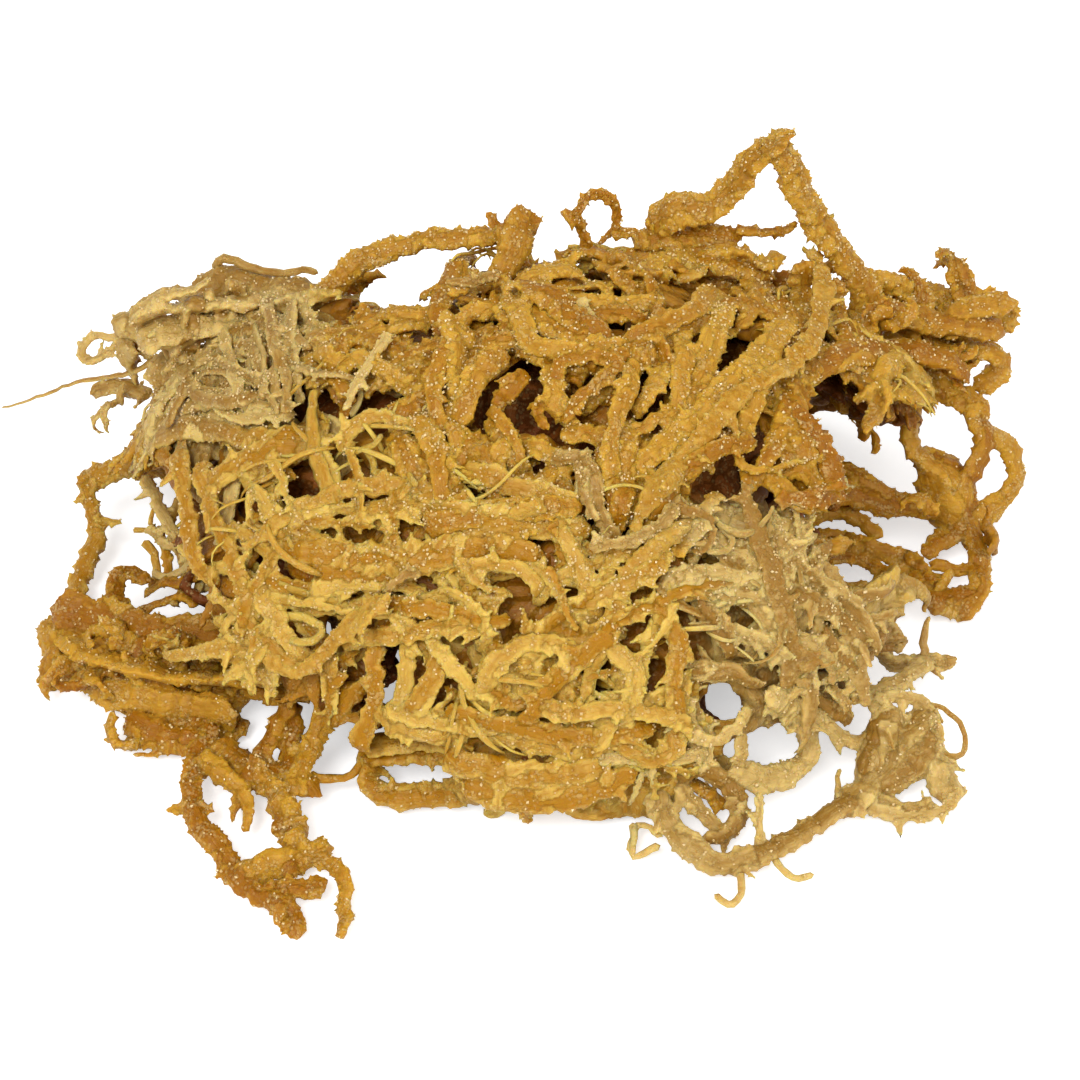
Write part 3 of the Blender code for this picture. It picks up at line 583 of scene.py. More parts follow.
def finish_piece(body, material, nodes=(), strands=(), base_tone=0.3, shade=0.5):
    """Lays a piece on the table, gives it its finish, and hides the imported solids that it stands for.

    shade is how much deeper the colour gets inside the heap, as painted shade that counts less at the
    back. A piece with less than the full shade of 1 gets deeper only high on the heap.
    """
    near_surface, over_levels = 0.93, 0.2
    past_middle, over_depth, least = 8, 25, 0.25
    low, over_height = 25, 15
    usual_tone, tone_spread, rim_glow_share = 0.3, 1.9, 0.6
    mesh = body.data
    corners = corners_of(mesh)
    corners[:, 2] = np.maximum(corners[:, 2], 0.0)
    place_corners(mesh, corners)
    outward, _ = heap_slope(corners)
    # Without strands, the rim is where the skin turns edge-on to the heap; it gets a painted glow.
    tones, rim_glow, fibres = base_tone, 1 - np.abs((normals_of(mesh) * outward).sum(1)), corners * 0.7
    if strands:
        tones, rim_glow, fibres = follow_strands(corners, strands)
    # Painted shade: the colour deepens from near_surface down inside the heap, less towards the back.
    painted_shade_depth = np.clip((near_surface - heap_level(corners)) / over_levels, 0.0, 1.0)
    painted_shade_depth = painted_shade_depth * np.clip(1 - (corners[:, 1] - HEAP_Y - past_middle) / over_depth, least, 1.0)
    if shade < 1:
        painted_shade_depth = painted_shade_depth * shade * np.clip((corners[:, 2] - low) / over_height, 0.0, 1.0)
    if "tone" not in mesh.attributes:
        mesh.attributes.new("tone", "FLOAT", "POINT")
    # The tone: each frond's own, spread wider, plus the painted glow of the rim.
    mesh.attributes["tone"].data.foreach_set(
        "value", (usual_tone + tone_spread * (tones - usual_tone) + rim_glow_share * rim_glow).astype(np.float32)
    )
    mesh.attributes.new("painted_shade_depth", "FLOAT", "POINT").data.foreach_set("value", painted_shade_depth.astype(np.float32))
    bleached = np.clip((1.2 - out_from_ovals(corners, BLEACHED)) / 0.4, 0.0, 1.0)
    mesh.attributes.new("bleached", "FLOAT", "POINT").data.foreach_set("value", bleached.astype(np.float32))
    mesh.attributes.new("fibres", "FLOAT_VECTOR", "POINT").data.foreach_set(
        "vector", fibres.astype(np.float32).ravel()
    )
    only(body)
    bpy.ops.object.shade_smooth()
    mesh.materials.clear()
    mesh.materials.append(material)
    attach(body, "root")
    if nodes:
        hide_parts(*nodes)


def dress(node, material, slot, grain=0.6, flat=1.5, teeth=0.0, spurs=None, keep_gaps=False, **skin):
    """A frond's real skin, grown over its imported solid. teeth is the height of its teeth in mm."""
    solid = frame["nodes"][node]
    body = bpy.data.objects.new(node + "_skin", solid.data.copy())
    bpy.context.scene.collection.objects.link(body)
    only(body)
    bpy.ops.object.mode_set(mode="EDIT")
    bpy.ops.mesh.select_all(action="SELECT")
    bpy.ops.mesh.remove_doubles(threshold=0.01 * MM)
    bpy.ops.mesh.tris_convert_to_quads()
    bpy.ops.object.mode_set(mode="OBJECT")
    shape_with(body, "SUBSURF", levels=2, render_levels=2)
    seed = len(node) * 17 + len(body.data.vertices)
    if keep_gaps:
        inside = within(corners_of(body.data), GAPS[GAPS[:, 2] > 1.5], 1.5)
        delete_corners(body, inside)
        bpy.ops.object.mode_set(mode="EDIT")
        bpy.ops.mesh.select_all(action="SELECT")
        bpy.ops.mesh.fill_holes(sides=0)
        bpy.ops.object.mode_set(mode="OBJECT")
    press_flat(body, flat)
    if spurs:
        add_spurs(body, seed, *spurs)
    grow_skin(body, grain, **skin)
    if teeth:
        tooth_edges(body, seed, teeth)
    tone = 0.1 + 0.35 * (seed % 7) / 7
    finish_piece(body, material, [node], base_tone=tone, shade=1.0 if keep_gaps else 0.5)


# Dark colours that paint the shade inside the heap, seen through the gaps and hollows.
shade_dark_jelly = dried_frond(
    "amber frond painted dark with the heap's shade", body="#8e4c08", thin="#b06e18", deep="#70380a",
    salt_drifts=0.3, frosting=0.3, roughness=0.6, glow=0.0,
)
for number in range(1, 7):
    dress(f"inner_frond_{number}", shade_dark_jelly, "amber_frond", grain=1.7, flat=0.0, keep_gaps=True)

# ---------------------------------------------------------------------------------------------------
# The bed of the heap: broad flat fronds under the surface, glued together where they touched as they
# dried, so that the heap is closed. Their dark amber between the fronds that show is painted shade.


def on_heap(across, up):
    """The heap's surface behind those places on the front plane; past its edge, what is nearest."""
    nearest, farthest, looks = 0.75, 1.35, 600
    under_table = 9.0
    rays = np.multiply.outer(across, ACROSS) + np.multiply.outer(up, RISE) + AWAY * LOOK
    line = EYE + rays[..., None, :] * np.linspace(nearest, farthest, looks)[:, None]
    levels = heap_level(line) + np.where(line[..., 2] < 1.5, under_table, 0.0)
    inside = levels < 1
    first = np.where(inside.any(-1), inside.argmax(-1), levels.argmin(-1))
    return np.take_along_axis(line, first[..., None, None], -2)[..., 0, :]


def front_patch(across, up, wide, high):
    """Starting points on the heap's front, behind an oval on the front plane."""

    def place(rng):
        turn, out = rng.uniform(0, 2 * math.pi), math.sqrt(rng.random())
        return on_heap(across + wide * out * math.cos(turn), up + high * out * math.sin(turn))

    return place


def back_patch(rng):
    """Starting points on the back of the heap, all the way down to the table."""
    narrower, lower = 0.92, 0.97
    turn, height = rng.uniform(0.05, math.pi - 0.05), rng.uniform(0.04, 0.98)
    out = math.sqrt(1 - height ** (1 / HEAP_FULLNESS))
    return np.array([
        HEAP_X + HEAP_SIDE * narrower * out * math.cos(turn),
        HEAP_Y + HEAP_BACK * out * math.sin(turn),
        HEAP_TOP * height * lower,
    ])


def turned(vector, axis, angle):
    """The vector turned about the axis by that angle, in radians."""
    return (
        vector * math.cos(angle)
        + np.cross(axis, vector) * math.sin(angle)
        + axis * (axis @ vector) * (1 - math.cos(angle))
    )


def wavy(rng, count, every, low, high):
    """A smooth random run of values, with a new one about every so many."""
    knots = rng.uniform(low, high, count // every + 2)
    return np.interp(np.linspace(0, len(knots) - 1.001, count), np.arange(len(knots)), knots)


# Hollows where the dark inside of the heap shows, given as the gaps are.
HOLLOWS = np.array([
    # between the fronds along the top
    (-3, 31, 5.5, 4.5), (-11, 25, 3.5, 1.5), (-17, 35.5, 1.3, 2), (-14.5, 38, 0.8, 0.6),
    (10, 28.5, 1.8, 1.3), (-31, 27, 3, 1.5), (-35, 25, 3, 1.5), (11.5, 54, 1.5, 1.5), (14, 43, 3, 1.5),
    (-10, 43.5, 2.5, 0.5), (43, 39, 3.5, 1.2), (37, 38.5, 2, 1), (22.5, 31, 1.2, 3.5),
    (20.5, 26, 0.8, 1.5), (33, 32.5, 1, 2), (32, 28, 1.5, 2.3), (60, 30, 4, 4), (59.5, 28, 0.7, 1.5),
    # across the middle
    (1, 22, 3.5, 3), (-0.5, 14.5, 2.5, 2), (-15, 9, 2, 3), (-12.5, 7.5, 2, 2), (-8, 23, 3, 2),
    (-50, 8.5, 1.2, 3), (-46, 11, 3, 1.2), (-45, 14, 3.5, 1), (-34, 10.3, 1.8, 1.2),
    (-35.5, 16, 1.5, 0.8), (-33, 21, 2.5, 1.5), (-58, 8.5, 1.3, 3), (-27, 2.5, 1.2, 0.5),
    (-48, 26.5, 1.5, 3), (-42, 27.5, 2.5, 1.8), (-53.5, 26.5, 1.5, 1.3), (12, 16.5, 2, 3.5),
    (13.5, 11, 1, 1.5), (23, 18, 3, 2), (20.5, 13, 1, 0.8), (35, 12, 4.5, 4), (38, 5, 4, 4),
    (17.5, 2.5, 1.7, 2.8), (46, 10, 1, 3), (42.5, 18.5, 1.8, 3), (8.5, 3, 1.8, 1.5), (22, 23, 3.5, 0.5),
    # down the front
    (-50, -6.5, 3, 1), (-44, -0.5, 1.5, 0.6), (-35, -11, 1.5, 0.7), (-29, -11, 2, 1.2),
    (-40, -17, 2.5, 2), (-59, -17, 0.7, 2.2), (-2, -0.5, 3, 1.5), (-7, -14.5, 2.3, 2.7),
    (-3, -10.5, 1, 2), (-8, -9, 3, 1.2), (11, -3, 1.1, 1), (7.5, -13, 1.7, 1.8), (3, -14, 1.2, 2),
    (16, -15, 2.8, 1.2), (19, -12, 2.5, 1), (30, -8.7, 2, 0.8), (-22, -29, 1.5, 3), (-18, -35, 2.5, 1),
    (11, -25, 2.5, 1.2), (14, -31, 2.5, 2.3), (3, -35, 2, 2), (-3, -46, 3, 1.5), (18.5, -20, 2.5, 1.5),
    (-16.5, -20, 1, 1), (-6.5, -18, 1.3, 2), (27, -18, 1.8, 1.8), (31.5, -21.5, 3, 1.5),
    (25, -26, 3.5, 2.5), (33, -50, 3, 1.5),
])

# How the common band of frond grows: how it bends over the heap and away from it, how its tip thins,
# and how many side branches it has. hollow_room and gap_room are how far it keeps off those, in mm.
BAND = {
    "curl": 0.07, "weave": 1.0, "tip": 0.3, "twist": 0.8, "teeth": 0.5, "flatness": (0.3, 0.5),
    "forks": (1, 3), "spurs": None, "hollow_room": 0.6, "gap_room": 0.8, "gaps": GAPS,
}


def creep(rng, start, heading, length, depth, girth, habit):
    """A route over the heap, as far outside its surface as depth says, with the surface's normals.

    Its two ends tuck in under the fronds round them. It stops short of the gaps and the hollows.
    """
    tuck, tucked_over, near_table = 2.5, 5, 4.0
    count = max(6, int(length / RING_STEP))
    bias = habit["curl"] * rng.uniform(-0.8, 0.8)
    turns = RING_STEP * (habit["curl"] * wavy(rng, count, 8, -1, 1) + bias)
    heights = depth + wavy(rng, count, 8, -1, 1) * habit["weave"]
    ends = np.minimum(np.arange(count), np.arange(count)[::-1]) * RING_STEP
    heights -= tuck * np.clip(1 - ends / tucked_over, 0, 1) ** 2
    point = start
    route, facing = [], []
    for number in range(count):
        normal, rise = heap_slope(point)
        heading = turned(heading, normal, turns[number])
        heading = unit(heading - normal * (heading @ normal))
        if point[2] < near_table and heading[2] < 0:
            heading = unit(heading * np.array([1.0, 1.0, -0.5]))
        point = point + heading * RING_STEP
        point = point - normal * (heap_level(point) - 1.0) / rise
        laid = point + normal * heights[number]
        if within(laid, habit["gaps"], habit["gap_room"] + 0.6 * girth):
            break
        if habit["hollow_room"] is not None and within(laid, HOLLOWS, habit["hollow_room"]):
            break
        route.append(laid)
        facing.append(normal)
    return np.array(route), np.array(facing)


def spurs_along(rng, strand, spacing, low, high):
    """Short pointed side branches that lean forwards from a frond's two edges."""
    route, facing, radii = strand["route"], strand["facing"], strand["radii"]
    ahead = np.gradient(route, axis=0)
    grown = []
    for number in range(1, len(route) - 1):
        if radii[number] < 0.7 or rng.random() > RING_STEP / spacing:
            continue
        forward = unit(ahead[number])
        side = unit(np.cross(forward, facing[number])) * rng.choice((-1, 1))
        heading = unit(side + rng.uniform(0.0, 1.0) * forward + 0.3 * rng.normal(0, 1, 3))
        grown.append(spur(
            rng, route[number] + 0.4 * radii[number] * side, heading, forward, facing[number],
            0.5 * radii[number] + rng.uniform(low, high),
            min(rng.uniform(0.7, 1.2), 0.75 * radii[number]), strand["tone"],
        ))
    return grown


def frond(rng, start, heading, length, girth, depth, habit, tone, level=0):
    """A flat frond with its side branches, as strands. habit says how this kind of frond grows."""
    route, facing = creep(rng, start, heading, length, depth, girth, habit)
    if len(route) < 5:
        return []
    radii = girth * np.interp(np.linspace(0, 1, len(route)), [0, 0.15, 0.7, 1], [0.6, 1, 0.85, habit["tip"]])
    tilt = unit(rng.normal(0, 1, 3)) * rng.uniform(0.0, 0.6)
    strand = {
        "route": route, "facing": facing + tilt, "radii": radii * wavy(rng, len(route), 4, 0.8, 1.2),
        "tone": tone, "teeth": habit["teeth"], "flatness": rng.uniform(*habit["flatness"]),
        "twist": rng.uniform(-1, 1) * habit["twist"],
    }
    strands = [strand]
    if habit["spurs"]:
        strands += spurs_along(rng, strand, *habit["spurs"])
    branches = rng.integers(habit["forks"][0], habit["forks"][1] + 1) if level == 0 else rng.integers(0, 2)
    for _ in range(branches if level < 2 else 0):
        at = int(rng.integers(1, len(route) - 2))
        way = unit(route[at + 1] - route[at - 1])
        way = turned(way, facing[at], rng.choice((-1, 1)) * rng.uniform(0.35, 0.9))
        strands += frond(
            rng, route[at] - facing[at] * depth, way, length * rng.uniform(0.3, 0.6),
            radii[at] * rng.uniform(0.6, 0.85), depth, habit, tone + rng.uniform(-0.1, 0.1), level + 1,
        )
    return strands


def spread_fronds(rng, count, place, flow, length, girth, depth, habit):
    """Fronds spread over the heap, from starting points that place gives.

    flow is the angle they mostly lie at, seen from the front, and how far they stray, in degrees.
    """
    strands = []
    while count:
        start = place(rng)
        if within(start, GAPS, 1.0):
            continue
        count -= 1
        normal, _ = heap_slope(start)
        turn = math.radians(flow[0] + rng.normal(0, flow[1])) + rng.choice((0, math.pi))
        heading = math.cos(turn) * ACROSS + math.sin(turn) * RISE
        heading = unit(heading - normal * (heading @ normal) + 0.001)
        strands += frond(
            rng, start, heading, rng.uniform(*length), rng.uniform(*girth), rng.uniform(*depth),
            habit, rng.uniform(0.0, 0.6),
        )
    return strands


def fused_layer(name, seed, count, place, material, slot, grain, flow, length, girth, depth, **habit):
    """A layer of fronds under those that show, fused where they touch. Only wide gaps cut it."""
    rng = np.random.default_rng(seed)
    wide_gaps = GAPS[GAPS[:, 2] > 1.2]
    habit = {**BAND, "gaps": wide_gaps, "gap_room": 0.2, **habit}
    strands = spread_fronds(rng, count, place, flow, length, girth, depth, habit)
    body = strands_mesh(name, rng, strands)
    grow_skin(body, grain, bends=1.5, lumpiness=0.6, smoothing=1, crumbs=400.0)
    finish_piece(body, material, strands=strands, shade=1.0)


# Darker than the gold and amber jelly: painted shade for the fronds that lie under others.
shaded_jelly = dried_frond(
    "amber frond in the shade of others", body="#8c5604", thin="#b07c1a", deep="#622e02",
    salt_drifts=0.2, frosting=0.25, glow=0.4,
)
bed = {
    "length": (22, 50), "girth": (2.6, 4.2), "depth": (-17, -9), "flow": (0, 90), "grain": 1.3,
    "hollow_room": None,
}
low_bed = {**bed, "length": (16, 36), "girth": (1.8, 3.2), "depth": (-9, -4)}
fused_layer("bed_front", 31, 260, front_patch(0, 10, 76, 38), shade_dark_jelly, "amber_frond", **bed)
fused_layer("bed_low", 33, 100, front_patch(5, -18, 50, 12), shaded_jelly, "gold_frond", **low_bed)
fused_layer("bed_back", 32, 180, back_patch, shaded_jelly, "amber_frond", **bed)

# ---------------------------------------------------------------------------------------------------
# The large fronds with a skin of their own, by colour: gold and toothed at the top, amber at the right,
# light gold down the face, and pale where the jelly is thin or bleached by the sun. The four kinds of
# jelly differ in how thick it dried, and so in how much light passes through it.

gold_jelly = dried_frond(
    "gold dried frond", body="#9c6602", thin="#c69832", deep="#6a3402", salt_drifts=0.5
)
light_jelly = dried_frond(
    "light gold dried frond", body="#a67206", thin="#d4b052", deep="#6c3a04", salt_drifts=0.35, frosting=0.35
)
amber_jelly = dried_frond(
    "amber dried frond", body="#965e02", thin="#be8e26", deep="#683202", salt_drifts=0.5
)
pale_jelly = dried_frond(
    "straw-pale dried frond", body="#946c26", thin="#d2b46c", deep="#6e4c12", salt_drifts=0.2,
    roughness=0.36, frosting=0.25,
)

# spurs are how far apart the short side branches stand, and their shortest and longest, in mm.
dress("right_limb_back", gold_jelly, "gold_frond", teeth=0.7, spurs=(3.5, 0.6, 2.2))
for node in ("right_limb_front", "right_lump"):
    dress(node, amber_jelly, "amber_frond", teeth=0.6, spurs=(4.5, 0.6, 2.2))
for node in ("front_slant", "long_fall", "long_span", "u_bend"):
    dress(node, light_jelly, "pale_frond", teeth=0.4, spurs=(7.0, 0.8, 3.0), lumpiness=0.6)
PALE = ("right_fall_left", "right_fall_right", "pale_edge_left", "pale_broad_back", "pale_broad_front")
for node in PALE:
    dress(node, pale_jelly, "pale_frond", teeth=0.3, spurs=(9.0, 0.8, 3.0), lumpiness=0.6)

# ---------------------------------------------------------------------------------------------------
# The under layer: fronds close below the surface, fused into a sheet that is open only at the hollows.

under = {
    "slot": "gold_frond", "length": (18, 40), "girth": (1.7, 3.3), "depth": (-7.0, -2.8), "grain": 0.8,
    "hollow_room": 0.8,
}
steep = {**under, "flow": (48, 45)}
level = {**under, "flow": (5, 50)}
fused_layer("under_top_left", 61, 56, front_patch(-18, 40, 20, 16), shaded_jelly, **level)
fused_layer("under_top_right", 62, 84, front_patch(38, 40, 44, 18), shaded_jelly, **steep)
fused_layer("under_left", 63, 84, front_patch(-44, 4, 32, 20), shaded_jelly, **level)
fused_layer("under_middle", 64, 92, front_patch(16, 14, 38, 20), shaded_jelly, **steep)
fused_layer("under_low", 65, 120, front_patch(14, -24, 54, 22), light_jelly, **steep)
fused_layer("under_pale", 66, 64, front_patch(-64, 36, 17, 18), pale_jelly, **steep)
behind = {**level, "hollow_room": None, "grain": 1.0}
fused_layer("under_back", 67, 110, back_patch, shaded_jelly, **behind)

# ---------------------------------------------------------------------------------------------------
# The pale fronds at the upper left: bands of thin jelly bleached to straw, over a web of wide bands and
# under thin ribs. Like every region of the surface, it is flat, forked, toothed fronds laid one by one,
# then fused with their neighbours where they touched as they dried.


def laid_frond(rng, habit, width, end_width, *places):
    """A frond along places on the front plane, from its half width to its half width at the end (mm).

    A place is (across, up), on the heap's surface, or (across, up, height above the table).
    """
    thick, fine, finest = 3.5, 1.5, 0.9
    places = np.array(places, float)
    gone = np.append(0.0, np.cumsum(np.linalg.norm(np.diff(places[:, :2], axis=0), axis=1)))
    steps = np.arange(0.0, gone[-1] + RING_STEP / 4, RING_STEP / 2)
    path = np.stack([np.interp(steps, gone, column) for column in places.T], 1)
    for _ in range(8 if width > fine else 4):
        path[1:-1] = 0.25 * (path[:-2] + 2 * path[1:-1] + path[2:])
    path = path[::2]
    count = len(path)
    rough = min(1.0, width / 2)
    if path.shape[1] == 3:
        rays = path[:, :1] * ACROSS + path[:, 1:2] * RISE + AWAY * LOOK
        route = EYE + rays * ((EYE[2] - path[:, 2]) / -rays[:, 2])[:, None]
        route[:, 2] += 0.4 * rough * wavy(rng, count, 6, -1, 1)
        facing = np.tile(np.array([0.0, -0.5, 0.85]), (count, 1))
        flatness = rng.uniform(0.5, 0.75) if width < thick else rng.uniform(0.28, 0.38)
    else:
        route = on_heap(path[:, 0], path[:, 1])
        normals, _ = heap_slope(route)
        heights = rng.uniform(-0.8, 1.0) + 0.9 * wavy(rng, count, 7, -1, 1) + habit.get("lift", 0.0)
        if width > 1.4:
            ends = np.minimum(np.arange(count), np.arange(count)[::-1]) * RING_STEP
            heights = heights - 2.0 * np.clip(1 - ends / 4, 0, 1) ** 2
        route = route + normals * heights[:, None]
        for _ in range(2):
            route[1:-1] = 0.25 * (route[:-2] + 2 * route[1:-1] + route[2:])
        facing = normals - 0.6 * LOOK
        flatness = rng.uniform(*habit["flatness"])
    route = route + 0.25 * rough * rng.normal(0, 1, (count, 3))
    depth = (route - EYE) @ LOOK / AWAY
    radii = np.linspace(width, end_width, count) * depth * wavy(rng, count, 4, 0.82, 1.18)
    strand = {
        "route": route, "facing": facing + 0.35 * rng.normal(0, 1, 3), "radii": radii,
        "tone": rng.uniform(0.0, 0.6), "teeth": habit["teeth"] * rough, "flatness": flatness,
        "twist": rng.uniform(-1, 1) * habit["twist"],
    }
    return [strand] + (spurs_along(rng, strand, *habit["spurs"]) if habit["spurs"] and width > finest else [])


def surface(name, seed, material, slot, routes, fills=(), nodes=(), sharp=0.35, lumpy=0.28, **habits):
    """The fronds of one region: those given one by one, and more that fill in between them.

    fills are (how many, front patch, flow). The thinnest fronds keep their own round shape. sharp is the
    height of the teeth and lumpy the height of the lumps, in mm.
    """
    finest = 0.9
    rng = np.random.default_rng(seed)
    habit = {**BAND, **habits}
    bands, wisps = [], []
    for width, end_width, *places in routes:
        strands = laid_frond(rng, habit, width, end_width, *places)
        (bands if width > finest else wisps).extend(strands)
    girth = habits.get("girth", (1.1, 2.3))
    for count, oval, flow in fills:
        bands += spread_fronds(
            rng, count, front_patch(*oval), flow, length=(16, 34), girth=girth, depth=(-2.5, 0.3), habit=habit
        )
    body = strands_mesh(name, rng, bands)
    grow_skin(body, grain=0.5, bends=0.8, lumpiness=lumpy, smoothing=1)
    tooth_edges(body, seed, sharp)
    finish_piece(body, material, nodes, strands=bands)
    if wisps:
        body = strands_mesh(name + "_wisps", rng, wisps, sides=6)
        finish_piece(body, material, strands=wisps)


surface(
    "fronds_pale_left", 71, pale_jelly, "pale_frond",
    [
        (3, 3, (-82, 45.5), (-74, 46), (-66, 47), (-58, 49), (-48, 50)),
        (1.3, 1.3, (-82, 45.5), (-76, 49), (-70, 50), (-67, 52.3)),
        (2.5, 2.5, (-79, 41), (-73, 39.5), (-66, 44.5), (-60, 46)),
        (3, 2.6, (-70, 49), (-71, 44), (-71, 38), (-75, 32), (-77, 24), (-79, 20)),
        (2.5, 2.5, (-65, 48), (-65, 40), (-68, 34), (-72, 28), (-75, 22)),
        (2, 2, (-60, 50), (-61, 44), (-63, 38), (-62, 34)),
        (1.5, 1.5, (-58, 50), (-54, 45.5), (-51, 42), (-51.5, 36), (-53, 32), (-52, 26)),
        (1.5, 1.5, (-57, 44), (-57, 38), (-55, 33), (-53, 28)),
        (0.7, 0.6, (-60, 49), (-56, 46), (-52, 43), (-51, 38), (-47, 34), (-43, 33), (-39, 33),
         (-36, 31.5), (-35.5, 29), (-38, 25.5)),
        (0.8, 0.6, (-42, 38.5), (-38, 38.5), (-35, 37.5)),
        (1, 1, (-78, 37, 34), (-82, 39.5, 35), (-86, 41, 36), (-90, 41, 36), (-92, 38, 33),
         (-91, 35.5, 30), (-88, 36.5, 31), (-86, 38.5, 33), (-84, 39.5, 34)),
        (0.9, 0.35, (-77, 36, 34), (-82, 33.5, 31), (-87, 32.5, 29), (-92, 32, 27), (-97, 30, 24),
         (-102, 28, 21), (-108, 26.5, 18)),
        (2.2, 1.4, (-79, 29, 27), (-84, 31, 28), (-90, 29.5, 26)),
        (0.9, 0.8, (-65, 54.5, 53), (-64.5, 56.2, 55), (-62, 56.5, 56), (-60, 55.5, 56), (-56, 53.8, 55),
         (-52, 53.5, 56), (-48, 54, 57), (-46.5, 54.5, 58), (-44, 53, 57)),
        (1.2, 1.2, (-70, 30), (-66, 33.5), (-62, 33), (-57, 31.5), (-54, 30)),
        (1.5, 1.5, (-68, 30), (-64, 26), (-60, 24), (-54, 25), (-50, 25)),
        (2.5, 2, (-60, 28), (-57, 28), (-53, 27)),
        (2, 1.6, (-66, 37), (-60, 39), (-55, 38), (-50, 39)),
        (1.8, 1.4, (-78, 44), (-74, 41), (-70, 36), (-66, 31)),
        (3.4, 3, (-68, 49.5, 48), (-62, 52, 51), (-55, 51, 53), (-48, 50, 55), (-43, 49, 57)),
        (3, 2.4, (-84, 44, 42), (-80, 42, 40), (-76, 40, 38), (-70, 42, 40)),
        (1.8, 1.4, (-50, 48), (-49, 43), (-50, 38), (-48, 33), (-49, 29)),
        (1.6, 1.2, (-62, 44), (-64, 39), (-61, 34), (-64, 29), (-62, 24)),
        (1.6, 1.2, (-56, 47), (-58, 42), (-61, 38)),
        (2.6, 2.2, (-74, 25), (-68, 27), (-62, 29), (-56, 28)),
    ],
    [(20, (-64, 36, 15, 16), (80, 30)), (7, (-58, 45, 14, 6), (5, 25))],
    nodes=("pale_loop", "pale_edge_top"), spurs=(9.0, 1.0, 4.0), teeth=0.5, flatness=(0.3, 0.5),
    girth=(0.9, 1.8), sharp=0.35, lumpy=0.4,
)
surface(
    "fronds_pale_web", 87, pale_jelly, "pale_frond",
    [
        (4.5, 4, (-82, 43), (-74, 45), (-66, 46), (-58, 47), (-50, 47)),
        (4.5, 4, (-79, 36), (-71, 38), (-63, 39), (-55, 39), (-49, 40)),
        (4.5, 4, (-78, 28), (-70, 30), (-62, 32), (-54, 33)),
        (4, 3.5, (-76, 22), (-69, 24), (-61, 25), (-53, 26)),
        (3.5, 3, (-72, 48), (-72, 38), (-74, 28)),
        (3.5, 3, (-60, 48), (-60, 38), (-62, 28)),
    ],
    spurs=(12.0, 0.5, 2.0), teeth=0.4, flatness=(0.2, 0.28), sharp=0.3, lumpy=0.5, lift=-2.8,
)
surface(
    "fronds_pale_ribs", 89, pale_jelly, "pale_frond",
    [
        (1.6, 1.2, (-66, 49), (-63, 43), (-61, 37), (-60, 31), (-58, 26)),
        (1.4, 1.1, (-59, 48), (-57, 42), (-55, 37), (-54, 31), (-55, 27)),
        (1.4, 1.1, (-53, 46), (-52.5, 41), (-52, 37), (-50, 33), (-50, 28), (-49, 24.5)),
        (1.3, 1.0, (-72, 46), (-70, 40), (-69, 34), (-70, 28), (-73, 22)),
        (1.5, 1.2, (-62, 52), (-58, 47), (-54, 44), (-50, 41.5), (-46, 38)),
        (1.0, 0.95, (-67.3, 33.8), (-64.7, 34.7), (-61, 34), (-56.4, 31.8), (-53.8, 29.3), (-52, 25)),
        (1.2, 1.0, (-76, 41), (-73, 36), (-71, 32), (-66, 29), (-61, 29)),
        (1.0, 0.95, (-52, 41.5), (-50, 35), (-46.2, 32.5), (-41, 31.8), (-36, 31.8), (-34.6, 29.3)),
        (1.8, 1.4, (-70, 31), (-66, 27), (-61, 26), (-57, 28)),
    ],
    spurs=(7.0, 0.8, 3.0), teeth=0.4, flatness=(0.5, 0.7), sharp=0.3, lumpy=0.3, lift=1.6,
)
# ---------------------------------------------------------------------------------------------------
# The left face: light, thin fronds that sweep across the heap and fork like antlers. The jelly is clear
# gold, and the finest ones stay round and loose.

